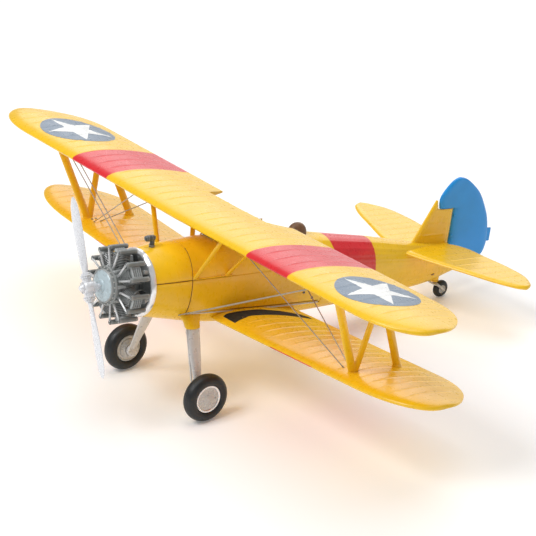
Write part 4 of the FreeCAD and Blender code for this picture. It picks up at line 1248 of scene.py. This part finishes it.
def tread(step):
    """Point (radius, x) of the tyre outline, forty steps to the turn, with its two pairs of grooves."""
    angle = 2.0 * math.pi * step / 40
    radius = max(5.45 + 1.88 * math.cos(angle), 4.3)
    x = TYRE_X + 2.2 * math.sin(angle)
    off = abs(x - TYRE_X)
    groove = 0.05 * max(bump(off - 0.35, 0.09), bump(off - 1.05, 0.09)) if radius > TREAD_FROM_R else 0.0
    return radius - groove, x


def make_gear():
    table = smooth_curve([(-29.6, 2.4, 1.6, WHEEL_Y), (-25.0, 3.0, 1.7, WHEEL_Y), (-19.0, 4.05, 2.0, 31.85),
                          (-12.2, 4.3, 2.3, 32.2), (-11.6, 4.3, 2.3, 32.25)])
    for side in ("left", "right"):
        leg = Shape()
        rings = []
        for k in range(37):
            z = -11.7 - 17.9 * k / 36
            chord, thick, y = table(z)
            rings.append(oval(leg_x(z), y, z, chord, thick))
        leg.rings(rings)
        chord, thick, y = table(LEG_CLAMP_Z)
        leg.rings([oval(leg_x(LEG_CLAMP_Z + d), y, LEG_CLAMP_Z + d, chord + g, thick + g)
                   for d, g in ((-0.22, -0.1), (-0.15, 0.08), (0.15, 0.08), (0.22, -0.1))])
        wheel = (0, WHEEL_Y, WHEEL_Z)
        across = Matrix.Translation(wheel) @ Matrix.Rotation(math.radians(90), 4, "Y")
        leg.revolve([(0, 16.42), (1.5, 16.42), (1.74, 16.6), (1.74, 17.8), (1.6, 17.98), (0.59, 17.98),
                     (0.59, 21.2),
                     (0, 21.2)], across, 32)
        for k in range(6):
            angle = math.radians(60 * k)
            leg.bolt((16.5, WHEEL_Y + 1.2 * math.cos(angle), WHEEL_Z + 1.2 * math.sin(angle)), (-1, 0, 0),
                     0.2, 0.3, 1)
        leg.block((16.35, 29.6, -30.3), (17.3, 30.6, -29.5), 0.2)
        collar = Shape()
        rings = []
        for x, y, z, chord, thick in ((7.2, 32.2, -8.4, 8.6, 2.2), (7.8, 32.2, -9.25, 7.5, 3.0),
                (8.3, 32.15, -9.8, 6.5, 3.05),
                                      (8.8, 32.1, -10.4, 5.85, 3.05), (9.4, 32.05, -11.2, 5.45, 3.0),
                                      (9.95, 32.0, -12.0, 5.25, 2.95), (10.05, 32.0, -12.15, 5.15, 2.85),
                                      (10.06, 32.0, -12.2, 4.9, 2.7)):
            rings.append(oval(x, y, z, chord, thick, 48))
        collar.rings(rings)
        hub = Shape()
        hub.revolve([(0, 22.32), (1.15, 22.3), (1.3, 22.2), (3.4, 22.08), (3.55, 22.12), (3.62, 22.3),
                     (3.8, 22.4),
                     (4.15, 22.4), (4.28, 22.25), (4.3, 21.9), (4.3, 19.3), (4.1, 19.02), (3.9,
                             19.0), (3.75, 19.25),
                     (3.2, 19.3), (3.0, 18.95), (2.1, 18.9), (1.7, 18.75), (1.6, 18.6), (0.66,
                             18.6), (0.66, 21.3),
                     (0, 21.3)], across, 72, mark=lambda row, step: 1 if 5 <= step <= 8 else 0)
        for k in range(8):
            angle = math.radians(45 * k)
            hub.bolt((18.98, WHEEL_Y + 2.55 * math.cos(angle), WHEEL_Z + 2.55 * math.sin(angle)),
                     (-1, 0, 0), 0.22, 0.3)
        valve = (22.2, WHEEL_Y + 2.8, WHEEL_Z)
        hub.tube([valve, (22.38, valve[1], valve[2])], 0.2, 10)
        tyre = Shape()
        outline = []
        for k in range(40):
            outline.append(tread(k))
            if min(tread(k)[0], tread(k + 1)[0]) > TREAD_FROM_R:
                outline += [tread(k + part) for part in (0.25, 0.5, 0.75)]
        tyre.revolve(outline, across, 96, closed=True)
        for reach, at in ((5.6, 22.86), (4.75, 22.55)):
            tyre.revolve([(reach - 0.14, at - 0.12), (reach, at + 0.04), (reach + 0.14, at - 0.12)],
                         across, 96, closed=True)
        rod = Shape()
        top, foot = Vector((9.55, 29.85, -11.2)), Vector((16.75, 30.0, -30.0))
        rod.tube([top, foot], 0.26, 12)
        for t in (0.12, 0.55, 0.95):
            place = top.lerp(foot, t)
            ahead = (foot - top).normalized()
            rod.tube([place - ahead * 0.4, place + ahead * 0.4], 0.36, 12)
        parts = ((leg, "leg_strut_", ["leg", "hub"], "airframe", "leg_silver", ["gear_leg_" + side]),
                 (collar, "leg_collar_", ["yellow"], "airframe", "yellow_enamel", ["gear_fairing_" + side]),
                 (hub, "hub_disc_", ["hub", "bright"], "main_wheel_" + side, "hub_silver",
                  ["wheel_hub_" + side]),
                 (tyre, "tyre_tread_", ["tyre"], "main_wheel_" + side, "black_tyre", ["tyre_" + side]),
                 (rod, "brake_line_", ["leg"], "airframe", "leg_silver",
                  ["brake_rods"] if side == "left" else []))
        for shape, name, keys, body, slot, nodes in parts:
            if side == "right":
                shape = mirror(shape)
            shape.build(name + side, keys, body, slot, nodes, sharp=45.0)

    fork = Shape()
    fork.tube([(0, SWIVEL_Y, -12.6), (0, SWIVEL_Y, -8.4)], 0.79, 24)
    fork.block((-2.05, 134.75, -12.68), (2.05, 136.35, -11.92), 0.25)
    for x in (-1.75, 1.75):
        fork.tube([(x, SWIVEL_Y, -12.3), (x, 137.4, -13.35), (x, TAILWHEEL_Y, TAILWHEEL_Z)],
                  [0.42, 0.4, 0.4], 14)
        fork.bolt((x * 1.02, TAILWHEEL_Y, TAILWHEEL_Z), (math.copysign(1, x), 0, 0), 0.36, 0.3, 1)
    fork.tube([(-2.1, TAILWHEEL_Y, TAILWHEEL_Z), (2.1, TAILWHEEL_Y, TAILWHEEL_Z)], 0.38, 16)
    fork.build("tail_fork", ["hub", "hub"], "tailwheel_swivel", "hub_silver", ["tailwheel_fork"])
    across = Matrix.Translation((0, TAILWHEEL_Y, TAILWHEEL_Z)) @ Matrix.Rotation(math.radians(90), 4, "Y")
    hub = Shape()
    half = [(0.46, 1.0), (0.8, 1.0), (0.85, 0.85), (1.1, 0.8), (1.15, 0.98), (1.34, 1.0)]
    hub.revolve(half + [(r, -x) for r, x in reversed(half)], across, 40, closed=True)
    hub.build("tail_hub", ["hub"], "tailwheel", "hub_silver", ["tailwheel_hub"])
    tyre = Shape()
    outline = [(max(1.35, 1.75 + 1.1 * math.cos(a)),
                math.sin(a)) for a in (2 * math.pi * k / 32 for k in range(32))]
    tyre.revolve(outline, across, 64, closed=True)
    tyre.build("tail_tyre", ["tyre"], "tailwheel", "black_tyre", ["tailwheel_tyre"])
    boss = Shape()
    for outline in ([(0.86, -11.55), (1.3, -11.6), (1.5, -11.4), (1.5, -7.5), (0.86, -7.5)],
                    [(1.45, -11.2), (1.5, -11.2), (1.5, -10.9), (1.45, -10.9)]):
        boss.revolve(outline, Matrix.Translation((0, SWIVEL_Y, 0)), 36, closed=True)
    boss.build("tail_swivel_housing", ["yellow"], slot="yellow_enamel", stands_for=["tailwheel_housing"])


# ---------------------------------------------------------------- struts, wires and cockpit fittings

STRUT_CHORD = 2.9
STRUT_THICKNESS = 1.2


def make_fittings():
    eyes = Shape()
    for side in (1, -1):
        def spot(x, y, z):
            return Vector((x * side, y, z))
        wires = [(spot(25.3, 32.6, 18.3), spot(65.3, 45.57, -6.78)),
                 (spot(24.5, 48.4, 18.3), spot(65.3, 46.97, -6.78)),
                 (spot(7.5, 28.2, -8.74), spot(62.2, 31.0, 19.55)), (spot(7.5, 30.0, -8.85),
                         spot(62.2, 32.8, 19.55))]
        for start, end in wires:
            ahead = (end - start).normalized()
            for place, way in ((start, ahead), (end, -ahead)):
                eyes.tube([place + way * 1.9, place + way * 2.1, place + way * 3.0, place + way * 3.2],
                          [0.17, 0.23, 0.23, 0.17], 8)
        for x, y in ((65.3, 45.57), (65.3, 46.97)):
            z = LOWER.point(x, (y - LOWER.leading) / LOWER.chord, 1).z
            eyes.revolve([(0.12, -0.05), (0.42, -0.05), (0.42, 0.16), (0.3, 0.22), (0.12, 0.2)],
                         Matrix.Translation((x * side, y, z)), 14, closed=True)
    eyes.build("wire_terminals", ["wire"], slot="steel_wire")

    shoes = Shape()
    for side in (1, -1):
        for low_y, high_y in ((45.57, 32.55), (62.0, 48.72)):
            low = Vector((66.9 * side, low_y, -6.67))
            high = Vector((69.7 * side, high_y, 19.6))
            way = (high - low).normalized()
            for place, step in ((low, 1), (high, -1)):
                rings = []
                for reach, grow in ((0.5, 0.5), (1.75, 0.42), (1.95, 0.2)):
                    at = place + way * reach * step
                    rings.append(oval(at.x, at.y, at.z, STRUT_CHORD + grow, STRUT_THICKNESS + grow, 28))
                shoes.rings(rings)
    shoes.build("strut_shoes", ["yellow"], slot="yellow_enamel")

    grips = Shape()
    for x in (-11.1, 4.3):
        grips.tube([(x - 1.1, 50.9, 18.75), (x - 0.8, 51.25, 18.95), (x + 0.8, 51.25, 18.95),
                    (x + 1.1, 50.9, 18.75)],
                   0.24, 10)
    grips.build("wing_hand_grips", ["gunmetal"], slot="gunmetal")

    sticks = Shape()
    for front in (46.0, 64.0):
        sticks.tube([(0, front + 1.5, 1.7), (0, front + 1.75, 4.0), (0, front + 1.9, 5.9)],
                    [0.3, 0.22, 0.2], 12)
        sticks.tube([(0, front + 1.88, 5.4), (0, front + 1.9, 5.6), (0, front + 1.92, 6.4),
                     (0, front + 1.93, 6.55)],
                    [0.24, 0.38, 0.4, 0.2], 14)
        sticks.revolve([(0.2, 1.65), (0.75, 1.65), (0.6, 1.9), (0.35, 2.2), (0.2, 2.2)],
                       Matrix.Translation((0, front + 1.5, 0)), 16, closed=True)
        for x in (-2.6, 2.6):
            sticks.tube([(x, front + 0.3, 1.9), (x, front + 0.9, 3.0), (x, front + 0.9, 3.4)], 0.2, 8)
            sticks.block((x - 0.8, front + 0.75, 3.2), (x + 0.8, front + 1.1, 3.9), 0.1)
    sticks.build("control_sticks", ["gunmetal"], slot="gunmetal")

    frames = Shape()
    for front, height, depth in ((38.1, 8.4, 6.2), (58.1, 6.2, 4.2)):
        place = Matrix.Translation((0, front + 5.4, 8.0)) @ Matrix.Rotation(math.radians(-14.0), 4, "X")

        def rim(angle, z):
            reach = 5.17 - 1.1 * z / height
            return (reach * math.sin(angle), -reach * math.cos(angle), z)
        sweep = math.acos((5.4 - depth) / 4.12)
        frames.tube([rim(sweep * (k / 20 - 1.0), height - 0.2) for k in range(41)], 0.2, 8, 0, place)
        for angle in (-sweep, sweep, -sweep * 0.42, sweep * 0.42):
            frames.tube([rim(angle, z) for z in (1.6, height * 0.5, height - 0.2)], 0.19, 8, 0, place)
    frames.build("windscreen_frames", ["yellow"], slot="yellow_enamel")

    dials = Shape()
    for panel_y in (45.4, 63.4):
        for x, z in [(-3.2, 7.4), (-1.1, 7.4), (1.1, 7.4), (3.2, 7.4), (-2.1, 5.9), (0.0, 5.9), (2.1, 5.9)]:
            turn = along_axis((x, panel_y + 0.8, z), (0, 1, 0))
            dials.revolve([(0.5, 0.0), (0.64, 0.0), (0.64, 0.08), (0.58, 0.12), (0.5, 0.08)], turn, 24, 1,
                          closed=True)
            dials.revolve([(0, -0.05), (0.52, -0.05), (0.52, 0.03), (0, 0.03)], turn, 24, 0)
            for tick in range(8):
                angle = math.pi / 4 * tick
                inner, outer = 0.36, 0.46
                dials.tube([(x + inner * math.sin(angle), panel_y + 0.84, z + inner * math.cos(angle)),
                            (x + outer * math.sin(angle), panel_y + 0.84,
                             z + outer * math.cos(angle))], 0.03, 4, 2)
            lean = x + z
            dials.tube([(x, panel_y + 0.85, z),
                        (x + 0.34 * math.sin(lean), panel_y + 0.85, z + 0.34 * math.cos(lean))],
                       0.035, 4, 2)
    dials.build("instrument_dials", ["dial", "gunmetal", "white"], slot="cockpit_grey")

    for name, back in (("front", 57.9), ("rear", 74.9)):
        seat = Shape()
        rings = []
        for k in range(9):
            z = 1.65 + 6.3 * k / 8
            lean = 0.03 * k
            wide = 3.55 - 0.35 * (k / 8) ** 2
            outer = []
            inner = []
            for j in range(21):
                angle = math.pi * j / 20
                depth = 5.0 if k < 2 else 1.6 + 0.5 * (1 - k / 8)
                outer.append((wide * math.cos(angle), back - depth + depth * math.sin(angle) ** 0.6 - lean,
                              z))
                inner.append(((wide - 0.4) * math.cos(angle),
                              back - depth + (depth - 0.4) * math.sin(angle) ** 0.6 - lean, z))
            rings.append(outer + inner[::-1])
        seat.rings(rings)
        seat.block((-3.3, back - 6.2, 1.7), (3.3, back - 0.3, 3.0), 0.4)
        for x in (-1.2, 1.2):
            strap = [(x, back - 0.75, 7.6), (x, back - 1.15, 6.0), (x, back - 1.2, 4.4),
                     (x * 1.6, back - 1.9, 3.2),
                     (x * 1.8, back - 3.4, 3.12), (x * 1.2, back - 4.9, 3.12)]
            rings = []
            for px, py, pz in strap:
                rings.append([(px - 0.4, py - 0.1, pz + 0.08), (px + 0.4, py - 0.1, pz + 0.08),
                              (px + 0.4, py + 0.1, pz - 0.1), (px - 0.4, py + 0.1, pz - 0.1)])
            seat.rings(rings, mark=1)
        seat.build("bucket_seat_" + name, ["trim", "cockpit"], slot="brown_trim",
                   stands_for=["seat_" + name])


make_engine()
make_propeller()
make_gear()
make_fittings()
